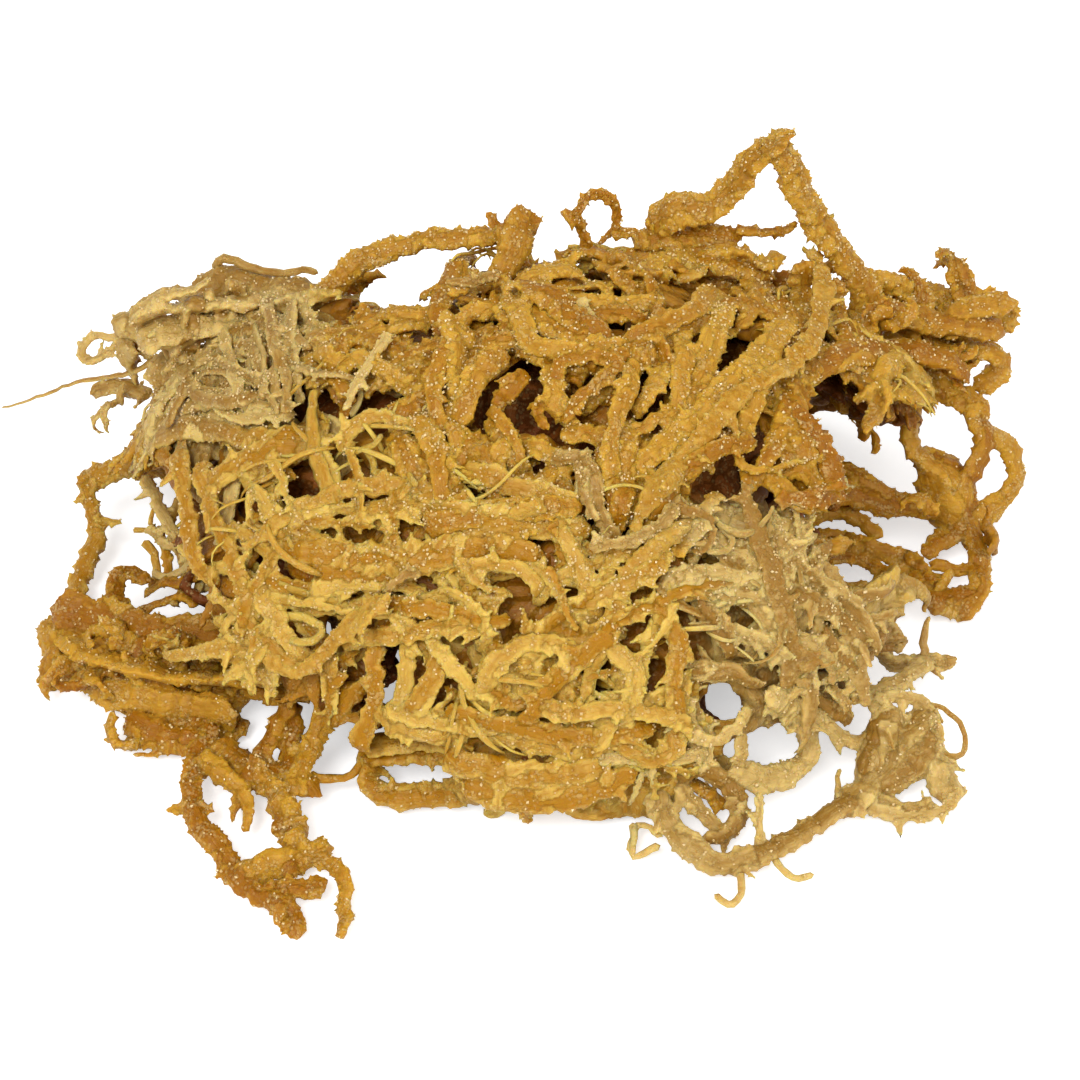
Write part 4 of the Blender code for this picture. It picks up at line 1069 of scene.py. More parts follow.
surface(
    "fronds_left_face", 72, light_jelly, "pale_frond",
    [
        (1.8, 1.5, (-46, 24.2), (-44.2, 19), (-42.3, 14), (-39.8, 9.4), (-43, 6.2), (-48, 4.3), (-52.6, 1.1)),
        (1.3, 1.0, (-53, 16.5), (-51.3, 12.6), (-50, 7), (-47, 4)),
        (1.2, 0.9, (-38, 18), (-36, 13), (-35, 8), (-36, 3)),
        (1.0, 0.8, (-33, 14), (-28, 12), (-24, 9), (-20, 8)),
        (1.6, 1.3, (-30, 20), (-26, 15), (-23, 9), (-22, 3)),
        (2.8, 2.8, (-80, 20), (-74, 22), (-68, 23), (-62, 22), (-57, 20), (-50, 21), (-47, 22)),
        (0.8, 2.2, (-45, 29.5), (-45.5, 25), (-45, 18), (-43, 12), (-40.5, 8)),
        (2.2, 1.8, (-40.5, 8), (-44, 5.5), (-49, 3.5), (-53, 1), (-56, -2)),
        (1.8, 1.8, (-40, 18), (-38, 22), (-33, 24.5), (-29, 24), (-27, 21)),
        (2.5, 2.5, (-68, 8), (-66, 11), (-62, 14), (-57, 17), (-50, 18.5)),
        (0.8, 0.6, (-53, 17), (-49, 17)),
        (2.2, 2.2, (-68, 15), (-66, 8), (-64, 2), (-61, -4), (-58, -10), (-58, -16), (-60, -20)),
        (1.6, 1.6, (-63, 3), (-57, 0), (-53, -4), (-54, -9)),
        (2.2, 2.2, (-56, -10), (-53, -14), (-51, -18), (-49, -22), (-47, -25)),
        (3.5, 3.2, (-53, 0), (-46, -2), (-38, -3.5), (-30, -4), (-22, -3.5), (-14, -2), (-6, -3), (0, -4)),
        (1, 1, (-50, -12), (-44, -13), (-38, -14.5), (-30, -15), (-25, -16)),
        (0.8, 0.8, (-52, -9), (-46, -11), (-40, -12.5)),
        (0.6, 0.5, (-38, 17), (-35, 18), (-32, 18.5), (-31.5, 20.5)),
        (0.7, 0.6, (-35, 18), (-33, 16), (-33, 13)),
        (0.8, 0.6, (-31, 18), (-28, 16), (-26, 13), (-24, 10)),
        (0.6, 0.5, (-36, 12), (-33, 12.5), (-29, 12.5), (-27, 10.5), (-25, 9)),
        (0.5, 0.4, (-30, 12), (-29, 9.5)),
        (2.5, 2, (-36, 5), (-30, 6), (-24, 7), (-18, 6)),
        (0.9, 0.9, (-55, -17), (-52, -15), (-46, -15.5), (-42, -18), (-45, -20.5), (-51, -20)),
        (1.5, 0.7, (-17, -3), (-15, -5), (-13, -8), (-10, -9.5), (-5, -11)),
        (4, 3.4, (-24, 6), (-16, 4), (-8, 3), (0, 3), (8, 2)),
        (2.5, 2.5, (-15, 14), (-8, 11), (0, 8.5), (8, 7)),
        (2.2, 1.6, (-72, 18), (-71, 10), (-70, 3), (-68, -4), (-66, -10)),
        (2, 2, (-60, 12), (-55, 8), (-53, 4), (-50, 0)),
        (2.4, 1.8, (-46, -6), (-40, -7), (-33, -8), (-26, -8)),
        (1.6, 1.2, (-62, -12), (-56, -18), (-52, -24), (-44, -27)),
        (2, 1.6, (-40, -21), (-34, -19), (-26, -19), (-20, -17), (-12, -17)),
    ],
    [
        (24, (-46, 2, 22, 18), (0, 45)), (14, (-22, -14, 14, 10), (-20, 40)),
        (14, (-46, -23, 14, 9), (-20, 40)),
    ],
    nodes=("antler_stem", "antler_side"),
    spurs=(8.0, 1.0, 4.5), teeth=0.5, flatness=(0.26, 0.42), sharp=0.3, lumpy=0.3,
)
# ---------------------------------------------------------------------------------------------------
# The top: gold, closely toothed fronds along the skyline. They are the arch, the knob, the peak with
# its ring, and the crest of thick fronds that winds down the heap from them.

surface(
    "fronds_top", 73, gold_jelly, "gold_frond",
    [
        (3, 2.2, (-50, 40, 50), (-46, 46, 56), (-42, 50, 60), (-38, 54, 64), (-33, 57, 66), (-28, 59, 68),
         (-22, 60, 69), (-16, 60, 69), (-8, 61, 71)),
        (2.2, 2.2, (-15, 58), (-18, 54), (-20, 50), (-21, 46), (-20, 42)),
        (1, 1, (-20, 50), (-25, 50.3)),
        (2, 1.8, (-15, 56), (-13, 53), (-11, 51)),
        (1.8, 1.5, (-8, 47), (-13, 46), (-17, 44), (-18, 41), (-14, 40)),
        (3.5, 3, (-6, 50), (-2, 46), (3, 42), (8, 40), (14, 40)),
        (2, 1.8, (-8, 50), (-6, 46), (-4, 42), (-3, 38), (0, 36.5), (4, 36), (9, 37), (14, 38)),
        (2.5, 2.2, (0, 50), (5, 47), (9, 45)),
        (4, 3.2, (-18, 44), (-16, 38), (-17, 33), (-15, 28), (-17, 25)),
        (1.6, 1.6, (-34, 47), (-30, 46), (-26, 46), (-21, 46)),
        (2, 2, (2, 36), (2, 31), (3, 27), (6, 24), (8, 22)),
        (3, 2.6, (4, 35), (10, 35), (16, 36), (20, 38)),
        (2, 2, (8, 28), (12, 29), (16, 33), (19, 36)),
        (2.5, 2.5, (-30, 25), (-26, 26), (-22, 28), (-17, 30)),
        (1.2, 1.2, (0, 28), (-1, 25), (1, 22)),
        (2.2, 1.8, (-48, 40), (-42, 42), (-36, 42), (-30, 43)),
        (2.2, 1.8, (-44, 38), (-40, 34), (-36, 36), (-30, 33), (-26, 31)),
        (1.8, 1.4, (-28, 40), (-25, 36), (-27, 31), (-25, 27)),
        (2.3, 2.3, (-29, 22), (-27, 17), (-24, 12), (-21, 7), (-18.5, 3), (-18, 1.5)),
        (2, 1.6, (-10, 25), (-7, 20), (-5, 16), (-4, 12)),
    ],
    [(24, (-28, 37, 16, 13), (20, 50)), (16, (0, 46, 20, 9), (-20, 50)), (4, (-12, 30, 10, 8), (60, 40))],
    nodes=("toothed_arch", "left_shoulder"), spurs=(3.0, 0.3, 1.4), teeth=0.8, flatness=(0.4, 0.6), sharp=0.6,
)
surface(
    "fronds_knob", 88, gold_jelly, "gold_frond",
    [
        (2.8, 3.6, (-8, 52, 66), (-6, 56, 69), (-5, 60, 71), (-4.5, 62, 72)),
        (4.2, 4.0, (-4.5, 61, 71.5), (-3.8, 64, 73.5)),
        (4.0, 3.8, (-5, 63, 72.5), (-3, 63.5, 73)),
        (1.6, 1.0, (-7, 59, 70), (-9, 62.5, 72), (-11, 65.5, 74.5)),
        (2.4, 2, (-10, 52, 66), (-6, 49, 64), (-4, 45, 60)),
    ],
    nodes=("knob",), spurs=None, teeth=0.4, flatness=(0.6, 0.8), sharp=0.35,
)
surface(
    "fronds_peak", 74, gold_jelly, "gold_frond",
    [
        (3.6, 3.4, (23, 63, 67), (27, 66, 71), (31, 66, 71), (35, 66, 71), (38, 69, 74), (41, 74, 80),
         (45, 78, 84), (48, 80, 87)),
        (2, 1.2, (47, 77, 83), (48, 79.5, 86), (48, 81.5, 88)),
        (3.2, 2.9, (48, 78, 85), (51, 72, 78), (54, 66, 71), (58, 60, 63.5), (62, 55, 57.5),
         (65, 50, 52), (66, 45, 46), (64, 40, 40)),
        (1.2, 1, (40, 62, 66), (44, 61.5, 65), (48, 61.5, 65), (51, 63, 67)),
        (3, 2.4, (20, 60, 64), (26, 60, 64), (32, 61, 65), (38, 60, 64)),
        (2.6, 2, (22, 55), (28, 56), (34, 57), (40, 58), (46, 56)),
        (3, 2.5, (54, 58), (53, 52), (52, 46), (50, 41), (48, 37), (46, 32), (42, 29), (38, 27)),
        (1, 0.9, (57, 45), (58, 41)),
        (2, 2, (48, 36), (43, 34.5), (38, 31), (34, 27), (32, 25)),
        (2.3, 2.3, (37, 50), (35, 44), (34, 38), (32, 32), (29, 27), (27, 25)),
        (2, 2, (30, 44), (28, 40), (26, 35), (23, 30), (20, 26)),
        (2, 2, (10, 36), (16, 37.5), (22, 40), (28, 42), (33, 46), (36, 49)),
        (2, 2, (14, 29), (18, 33), (22, 37), (25, 41)),
        (1.5, 1.5, (42, 52), (44, 49), (43, 46), (41, 44)),
        (1.1, 0.8, (12, 55, 61), (10, 58, 64), (9, 61, 67), (7.5, 64, 70), (8, 67, 73), (10, 69.2, 75),
         (13, 69.5, 75), (15.5, 67.5, 73), (16, 64.5, 70), (14.5, 61.5, 67), (12, 59.5, 65)),
        (1.1, 0.8, (9, 63, 69), (6.5, 63.5, 70), (5, 66, 72)),
        (1.1, 0.9, (15, 61, 67), (18.5, 62.5, 67), (20.5, 60.5, 65), (19, 57, 61)),
        (2, 1.5, (12, 56), (16, 52), (20, 50), (26, 51)),
        (2.2, 1.6, (60, 52), (58, 47), (60, 42), (63, 37)),
        (3.2, 2.8, (27, 53, 59), (33, 55, 61), (39, 55, 61), (45, 53, 59)),
        (2.6, 2.2, (33, 51, 57), (39, 51.5, 57), (46, 50, 56)),
        (2.2, 1.8, (6, 49), (12, 47), (18, 47), (25, 48)),
        (2, 1.6, (9, 45), (15, 45), (22, 44.5)),
    ],
    [(26, (34, 48, 22, 12), (45, 45)), (12, (54, 40, 14, 10), (-50, 40))],
    nodes=("peak_left", "peak_right", "top_ring"), spurs=(3.2, 0.3, 1.3), teeth=0.8,
    flatness=(0.4, 0.6), sharp=0.6,
)
surface(
    "fronds_crest", 90, gold_jelly, "gold_frond",
    [
        (1.4, 1.0, (-6, 48.5), (-6.6, 51), (-12.4, 50.4), (-17.5, 48.5)),
        (2.3, 2.0, (-6, 48.5), (-3.4, 43.4), (-2.8, 38.2), (3.6, 36.3), (11.3, 37), (17.7, 38.9)),
        (3.0, 2.4, (-2.8, 49.8), (3.6, 46), (8.7, 42), (13, 40)),
        (2.0, 1.8, (17.7, 40), (24, 41.4), (28.6, 42.7), (33.7, 47.8), (35.6, 52)),
        (1.9, 1.5, (2.3, 29.3), (3, 33.1), (6.2, 35.4), (11.3, 35.4), (16.4, 34.4), (13.8, 31.2),
         (10, 29.3), (6.8, 26.7), (5, 24.2)),
        (2.1, 1.8, (19, 36), (18, 31), (16.4, 26.7), (14, 21.6), (13.8, 15.2), (14.5, 10)),
        (1.9, 1.6, (28.6, 39), (28, 32.5), (27.3, 25.4), (22.8, 23.6), (18, 21.5)),
        (2.6, 2.2, (46, 38), (41, 34), (36.5, 30), (33, 25.4), (28, 21.6), (24, 18), (18.5, 13.3)),
        (2.0, 1.7, (18.5, 13.3), (15.5, 7.5), (15.8, 1)),
        (2.6, 2.2, (-7.3, 36.3), (-11.8, 33), (-13.4, 29), (-15.6, 24.2)),
        (2.2, 1.8, (-16, 40), (-20, 35), (-21, 29), (-20, 22)),
        (1.5, 1.2, (-10.5, 26), (-7.3, 23.5), (-4.7, 19), (-2.8, 15)),
        (2.2, 1.8, (42, 19.5), (34.3, 17), (30, 15), (26.6, 11.4), (24, 7), (22, 3)),
        (2.8, 2.4, (50, 44), (46, 39), (43, 33), (42, 27), (40, 20)),
        (2.2, 1.8, (24, 47), (22, 43), (24, 38), (26, 34)),
        (2.2, 1.8, (38, 48), (36, 43), (32, 39), (31, 34)),
        (1.9, 1.7, (-20.7, 19), (-19.4, 11.4), (-18, 4)),
        (2.6, 2.2, (-22, 2.4), (-9.2, 5), (2.3, 6.2), (8, 7)),
        (2.0, 1.6, (-3, 33), (-6, 29), (-9, 27)),
        (1.8, 1.4, (36, 9), (32, 5), (30, 0), (26, -3)),
    ],
    nodes=(
        "crest_bow", "crest_left", "crest_back", "crest_middle", "middle_fall", "slant_frond",
        "toothed_flap", "coiled_frond",
    ),
    spurs=(4.5, 0.4, 2.2), teeth=0.6, flatness=(0.34, 0.5), sharp=0.35, lift=1.6,
)
# ---------------------------------------------------------------------------------------------------
# The right side: smooth amber rings and bars that stand off the heap over the table. The jelly is thick,
# and it dried round, so these twist little.

surface(
    "fronds_right", 75, amber_jelly, "amber_frond",
    [
        (3.5, 3, (55, 36), (60, 37), (65, 38), (70, 38), (78, 37), (86, 35)),
        (2.5, 2.5, (64, 42), (67, 45), (70, 47)),
        (3, 1.6, (60, 29, 31), (64, 27, 29), (65, 24, 27), (65, 20.5, 24)),
        (3.2, 2.6, (68, 46, 48), (76, 44, 46), (84, 43, 44), (92, 42, 42)),
        (2.8, 2.2, (82, 45, 46), (88, 47, 48), (93, 47, 47)),
        (3, 2.4, (70, 40, 40), (78, 38, 37), (86, 38, 37), (92.3, 37, 36), (92, 33, 32), (88.5, 31, 30)),
        (2.6, 2.2, (64, 34, 34), (72, 33, 32), (80, 31, 31), (86, 29, 30), (89, 26, 27)),
        (2.4, 2, (74, 42, 42), (72, 36, 36), (74, 31, 31), (76, 27, 29)),
        (3, 2.5, (50, 30), (52, 24), (52, 18), (54, 12)),
        (2.4, 2, (51, 26, 34), (51, 21, 29), (51, 16, 26), (51, 11, 22)),
        (2.4, 2, (46, 12), (49, 8), (54, 6), (57, 9), (54, 13), (49, 14)),
        (2.2, 2.2, (75, 27, 29), (73.5, 22, 25), (75, 17.5, 21), (79, 14, 18), (83, 11, 15)),
        (2.6, 2.4, (76, 29, 30), (81, 30, 30), (86, 27, 28), (89, 22, 24), (88.5, 17, 19), (86, 12, 15)),
        (2.2, 2.2, (88, 21, 23), (92, 20.5, 21), (95, 17, 17), (95.5, 12.5, 13), (93, 8, 9), (89, 5, 7),
         (86, 4, 7)),
        (3.2, 3.0, (77, 16, 19), (81, 15, 17), (85, 12, 14), (86, 7, 10)),
        (3.6, 3.4, (78, 12, 16), (80, 8, 12), (82, 4, 9)),
        (3.2, 3.0, (84, 10, 13), (84, 5, 9), (86, 1, 6)),
        (2.0, 1.8, (55, 15, 21), (60, 14.5, 19), (65, 12, 17), (70, 9, 14), (77, 7, 12)),
        (2.4, 2.4, (55, 9, 18), (62, 9.5, 16), (69, 7.5, 13), (76, 6.5, 11), (82, 6, 9)),
        (2.4, 2.2, (86, 2, 7), (88, -3, 6), (88.5, -8, 5), (87, -12, 4), (84, -15, 3)),
        (2.0, 1.8, (84, 2, 7), (80, -0.5, 6), (76, -3, 6)),
        (2.0, 2.0, (53, -2, 11), (58, 0.5, 10), (64, -0.5, 9), (70, -2.5, 8), (76, -5, 6)),
        (1.4, 1.4, (54, 3.5, 12), (59, 5.5, 11), (64, 4, 10), (68, 1, 9)),
        (2.6, 2.4, (54, -5, 10), (56, -9, 8), (61, -11.5, 6), (67, -10.5, 6), (71, -7, 6), (76, -5, 6)),
        (1.8, 1.6, (58, -3, 9), (62, -2.6, 8), (66, -4, 7), (69, -7, 6)),
        (2.6, 2.4, (74, -6, 6), (78, -8, 5), (80, -12, 4), (84, -14, 3)),
        (2.4, 2.2, (78, -13, 4), (83, -11.5, 4), (87, -11, 4)),
        (1.4, 1.2, (79, -5, 6), (83, -6, 5), (87, -6, 5)),
    ],
    [(14, (68, 38, 16, 7), (-10, 40)), (10, (48, 22, 9, 13), (70, 30))],
    nodes=("ring_limb", "ring_inner", "ring_link", "lower_bar", "lower_ring"), spurs=(9.0, 0.3, 1.2),
    teeth=0.5, flatness=(0.4, 0.6), sharp=0.35,
)
# ---------------------------------------------------------------------------------------------------
# The middle: gold fronds that fall steeply down the face of the heap, with its dark hollows between
# them.

surface(
    "fronds_middle", 76, gold_jelly, "gold_frond",
    [
        (2.5, 2.2, (-24, 24), (-21, 18), (-18, 12), (-16, 9)),
        (2.5, 2, (13, 20), (14, 14), (15, 8), (15, 2)),
        (3, 2.4, (17, 24), (17, 16), (17, 10), (16, 6)),
        (2, 2, (22, 22), (20, 15), (18, 9), (17, 4)),
        (2.5, 2.2, (33, 24), (29, 18), (25, 12), (22, 7), (20, 3)),
        (1.2, 1, (28, 17), (24, 14), (21, 11), (20, 8)),
        (2.2, 2, (40, 24), (36, 19), (31, 15), (28, 11), (26, 8)),
        (1, 1, (39, 18), (39.5, 14), (42, 13.5), (46, 13.5), (50, 14.5), (54, 16), (57, 15.5)),
        (2.4, 2, (6, 22), (9, 20), (14, 21), (20, 20)),
        (2, 1.6, (-12, 20), (-10, 15), (-10, 10), (-8, 6)),
        (2, 1.6, (-4, 19), (4, 17), (10, 14), (14, 10)),
        (1.8, 1.4, (24, 4), (29, 2), (36, 0), (42, -1)),
        (2, 1.6, (40, 4), (44, 1), (48, 3), (52, 5)),
        (2, 1.6, (3, 12), (6, 8), (5, 4), (8, 0)),
    ],
    [(18, (22, 14, 22, 13), (60, 35)), (10, (-10, 15, 14, 9), (70, 35))],
    spurs=(4.0, 0.6, 2.8), teeth=0.6, flatness=(0.34, 0.5), sharp=0.4,
)
# ---------------------------------------------------------------------------------------------------
# The front rim: loops of light gold fronds piled on each other near the table, and a second layer
# of bands over them.

surface(
    "fronds_low", 77, light_jelly, "gold_frond",
    [
        (1.5, 1.2, (-10, -4), (-4, -4.5), (0, -6), (3, -9), (5, -13), (7, -17)),
        (1, 0.9, (0, -7), (2, -8), (4, -11), (6, -15)),
        (2.3, 1.8, (5, 1), (7, -1), (8, -4)),
        (1.5, 1.3, (9, -1.5), (15, -2), (20, -3), (23, -5)),
        (1.2, 1, (10, -5), (18, -4.5), (26, -1), (30, -2)),
        (2.2, 2, (-2, -20), (2, -17), (6, -14), (12, -11), (18, -8), (24, -6)),
        (1.6, 1.4, (8, -19), (14, -16), (20, -13), (26, -12), (31, -10.5), (36, -11), (40, -12)),
        (2, 2, (-10, -24), (-6, -22), (0, -21), (6, -21), (12, -19), (18, -18)),
        (1.8, 1.8, (-10, -24), (-11, -28), (-9, -32), (-4, -33), (0, -31), (4, -27), (9, -23), (13, -20)),
        (2, 2, (19, -24), (17, -30), (14, -36), (12, -41), (8, -43)),
        (0.8, 0.8, (13, -23), (11, -26), (10, -30), (10, -34)),
        (0.6, 0.6, (11, -27), (14, -28), (15.5, -30)),
        (1.8, 1.8, (-31, -38), (-26, -38.5), (-20, -40), (-14, -38), (-11, -36)),
        (1.8, 1.8, (-27, -20), (-26, -26), (-27, -30), (-29, -34), (-31, -37)),
        (2, 2, (-34, -20), (-33, -26), (-33, -32), (-35, -38), (-37, -43)),
        (1, 1, (-24, -36), (-20, -33), (-17, -31)),
        (1.5, 1.5, (-24, -36), (-18, -36), (-12, -35)),
        (2.4, 2.4, (-34, -44, 6), (-34.5, -49, 4), (-30, -51.5, 4), (-20, -51.5, 4), (-12, -50.5, 5)),
        (2.4, 2.2, (-33, -43.5, 8), (-28, -43, 9), (-20, -43, 10), (-13, -43, 10), (-8, -42, 11)),
        (2.6, 2.4, (-13, -42, 10), (-11, -46, 8), (-11, -50, 5)),
        (2.6, 2.4, (-10, -43, 10), (-7, -47, 7), (-6, -50, 5)),
        (2.4, 2.2, (-12, -38), (-6, -40), (0, -41), (6, -42), (12, -43)),
        (2.4, 2.2, (-10, -47, 7), (-4, -49, 5), (2, -50, 4), (8, -50, 4), (14, -49, 4), (20, -47, 5),
         (24, -44, 8)),
        (2, 0.8, (-2, -48, 5), (-3, -52, 4), (-2, -56, 3)),
        (2.2, 2, (-8, -42, 11), (-2, -45, 9), (5, -46, 8), (12, -46, 8), (18, -43, 10)),
        (2.2, 2, (14, -38), (18, -42), (22, -45), (26, -42), (28, -36)),
        (2, 1.8, (20, -33), (24, -31), (28, -30), (32, -27)),
        (1.8, 1.6, (-24, -18), (-18, -24), (-14, -28), (-13, -34)),
        (2, 1.6, (-4, -26), (-1, -29), (3, -30), (7, -33), (8, -38)),
        (1.8, 1.4, (-20, -10), (-14, -12), (-10, -18), (-12, -22)),
        (1.6, 1.4, (24, -15), (22, -20), (20, -26), (21, -31)),
    ],
    [(36, (2, -19, 30, 14), (50, 50)), (26, (4, -38, 26, 9), (20, 45))],
    nodes=("front_ring", "bottom_loop_lower", "bottom_loop_upper", "bottom_rim"),
    spurs=(5.0, 0.8, 3.2), teeth=0.5,
    flatness=(0.34, 0.5), sharp=0.35,
)
surface(
    "fronds_low_top", 91, light_jelly, "gold_frond",
    [
        (2.3, 2.0, (-11, -30.6), (-9.8, -25.4), (-6, -21.6), (-1, -20), (5, -20.6), (8, -23)),
        (2.4, 2.0, (15, -17), (8.7, -23), (3.6, -26.7), (-1, -32.5), (-3, -37)),
        (2.4, 2.0, (13.8, -21), (19, -25), (19, -30.6), (16, -37), (14, -42)),
        (2.0, 1.8, (-30, -34), (-22, -36), (-14, -37.5), (-8, -38)),
        (1.9, 1.6, (-16, -5.6), (-9, -5), (-2.8, -5.6), (0, -10)),
        (1.3, 1.0, (-15.6, -3.7), (-13.7, -7.5), (-9.2, -10)),
        (1.0, 0.95, (1.7, -5.6), (4.2, -9.4), (5, -15), (8, -18)),
        (2.3, 2.0, (9.4, -12), (13.8, -10.7), (17.7, -8.2), (22.8, -6), (25, -1)),
        (1.8, 1.4, (12, -17), (19, -14.6), (25.4, -11.4), (32.4, -9.4), (40, -8)),
        (1.0, 0.95, (27, -13), (24, -18.4), (22, -21.6), (18, -24)),
        (3.0, 2.8, (-34, -41, 11), (-26, -40, 12), (-18, -40, 13), (-10, -41, 13), (-2, -43, 11)),
        (3.0, 2.8, (-6, -44, 10), (2, -45, 9), (10, -46, 9), (18, -45, 10), (24, -42, 12)),
        (2.8, 2.4, (-18, -35), (-10, -36.5), (-2, -38), (6, -39), (14, -39), (22, -37)),
        (2.4, 2.0, (-28, -36), (-24, -32), (-20, -27), (-20, -22)),
        (3.0, 2.6, (-18, -44), (-10, -45.5), (-2, -46.5), (6, -46), (14, -45)),
        (3.0, 2.6, (-14, -49), (-6, -50), (2, -50.5), (10, -49.5), (18, -47)),
        (2.2, 1.0, (-8, -44), (-5, -48), (-3, -53), (-2, -56.5)),
        (2.2, 2.0, (0, -33), (8, -34), (14, -33), (24, -34), (30, -36)),
        (2.2, 1.8, (22, -12), (26, -16), (28, -22), (26, -28), (28, -34)),
        (2.0, 1.6, (-30, -12), (-24, -14), (-18, -14), (-12, -16), (-6, -16)),
    ],
    spurs=(8.0, 0.8, 3.0), teeth=0.4, flatness=(0.34, 0.5), sharp=0.3, lumpy=0.25, lift=1.5,
)
# ---------------------------------------------------------------------------------------------------
# The lower right: pale, thin fronds, with the elbow that reaches out over the table and the curled
# blade and the crescent at its end.

surface(
    "fronds_low_right", 78, pale_jelly, "pale_frond",
    [
        (2.5, 2.3, (25, -9), (29, -8), (33, -7), (38, -7), (44, -9)),
        (3, 2.5, (46, 1), (50, -2), (50, -8), (48, -14)),
        (2, 2, (50, -10), (56, -13), (62, -18), (66, -22)),
        (2, 2, (50, -18), (56, -22), (62, -28)),
        (2.6, 2.4, (39, -46, 12), (44, -48, 8), (50, -47, 6), (54, -43, 7), (54, -38, 12), (51, -33, 20),
         (46, -31, 26)),
        (1.8, 1.6, (41, -40), (40, -43), (40, -46)),
        (1.8, 1.8, (50, -31, 22), (55, -35, 16), (60, -39, 10), (64, -41, 7)),
        (1.3, 1.2, (66, -34, 11), (68, -32, 12), (72, -31.5, 12), (76, -32, 11), (79, -35, 10),
         (80, -39, 8), (79.5, -43, 6), (82, -47, 4), (84, -51, 3), (82, -54, 3), (75, -55, 3),
         (68, -54.5, 3), (65, -53, 3), (64, -48, 4), (65, -41, 7)),
        (3.8, 3.4, (77, -35, 10), (72, -41, 8), (67, -48, 5), (62, -53, 4)),
        (3.4, 3.2, (70, -34, 11), (68, -40, 8), (65, -46, 6)),
        (3.2, 3, (78, -40, 8), (75, -45, 6), (69, -50, 4)),
        (2.6, 2.4, (80, -46, 5), (80, -51, 3), (84, -50, 3)),
        (2.4, 2.2, (66, -52.5, 3), (72, -54.5, 3), (79, -54, 3)),
        (0.6, 0.6, (77, -33, 11), (80, -33, 11), (82.5, -35, 10), (84.5, -37, 9), (85.3, -41, 7),
         (84.5, -43.5, 6), (82, -43.5, 6), (79.5, -42, 7)),
        (0.6, 0.4, (79, -34, 11), (80.5, -36.5, 9)),
        (2, 2, (60, -14, 18), (63, -17, 15), (66, -21, 12), (70, -24, 9), (74, -25, 7), (79, -24.5, 6),
         (82, -24.5, 6)),
        (2, 2, (62, -30, 14), (66, -31, 12), (70, -29.5, 11), (74, -27, 9), (78, -25, 7)),
        (0.8, 0.3, (70, -23, 10), (69.5, -19, 12), (71, -16.5, 13.5), (70, -15.5, 14)),
        (0.9, 0.4, (77, -23.5, 8), (76.5, -20, 10), (77.5, -16, 13), (78, -15.3, 13.5)),
        (2.8, 2.5, (23, -50, 8), (25, -56, 6), (28, -60.5, 5), (33, -64.5, 4), (38, -65, 4), (43, -63.5, 4)),
        (2.3, 2.3, (38, -65, 4), (45, -62.5, 4), (52, -59, 4), (58, -55, 4), (63, -52, 4)),
        (1.3, 0.4, (44, -61, 4), (43.8, -55, 7), (43.8, -50, 10)),
        (0.9, 0.5, (60, -53, 4), (59.5, -49, 5), (60, -46, 6)),
        (0.9, 0.6, (40, -67, 3), (40.5, -71, 2), (38, -73.5, 2), (35, -71, 2)),
        (0.9, 0.6, (47, -63.5, 3), (48, -66, 2), (51, -68, 2), (55, -67, 2)),
        (0.8, 0.7, (18, -62, 2), (19, -57, 4), (20.5, -56.5, 4), (24, -59, 4)),
        (0.8, 0.7, (18.5, -57, 4), (18.5, -64, 2), (24, -61, 3)),
        (2.4, 2, (28, -47, 12), (30, -46, 12), (33, -45, 13), (37, -48, 10), (40, -52, 7), (40, -56, 5),
         (37, -59, 4), (33, -60, 4)),
        (2, 1.6, (28, -50, 9), (31, -54, 7), (35, -57, 5)),
        (0.6, 0.5, (26.5, -15), (24, -18), (23, -22), (20.5, -24)),
        (0.6, 0.5, (25.5, -20), (27, -23), (29.5, -25.5)),
        (0.7, 0.5, (52, -9), (51, -3), (53, 0)),
        (0.6, 0.5, (42, -8), (48, -12), (54, -11), (60, -13)),
        (2.2, 1.8, (34, -14), (38, -18), (44, -20), (50, -24), (54, -28)),
        (2.2, 1.8, (30, -26), (34, -26), (40, -27), (45, -30)),
        (2, 1.6, (42, -12), (46, -17), (52, -20)),
        (2, 1.6, (28, -34), (30, -38), (34, -41), (38, -38), (42, -35)),
        (2.2, 1.8, (56, -17), (60, -23), (64, -27), (64, -32)),
    ],
    [(24, (42, -16, 20, 14), (-35, 40)), (8, (58, -24, 9, 8), (-40, 30)), (12, (34, -38, 16, 9), (-30, 40))],
    nodes=("elbow_near", "elbow_far", "curled_blade", "crescent", "pouch", "right_arm"),
    spurs=(8.0, 1.0, 4.5), teeth=0.4, flatness=(0.3, 0.5), girth=(1.0, 2.0), sharp=0.3, lumpy=0.3,
)
# ---------------------------------------------------------------------------------------------------
# The mat at the far left: amber fronds dried into one crust, thick with salt.
# It lies low, at the foot of the arch.

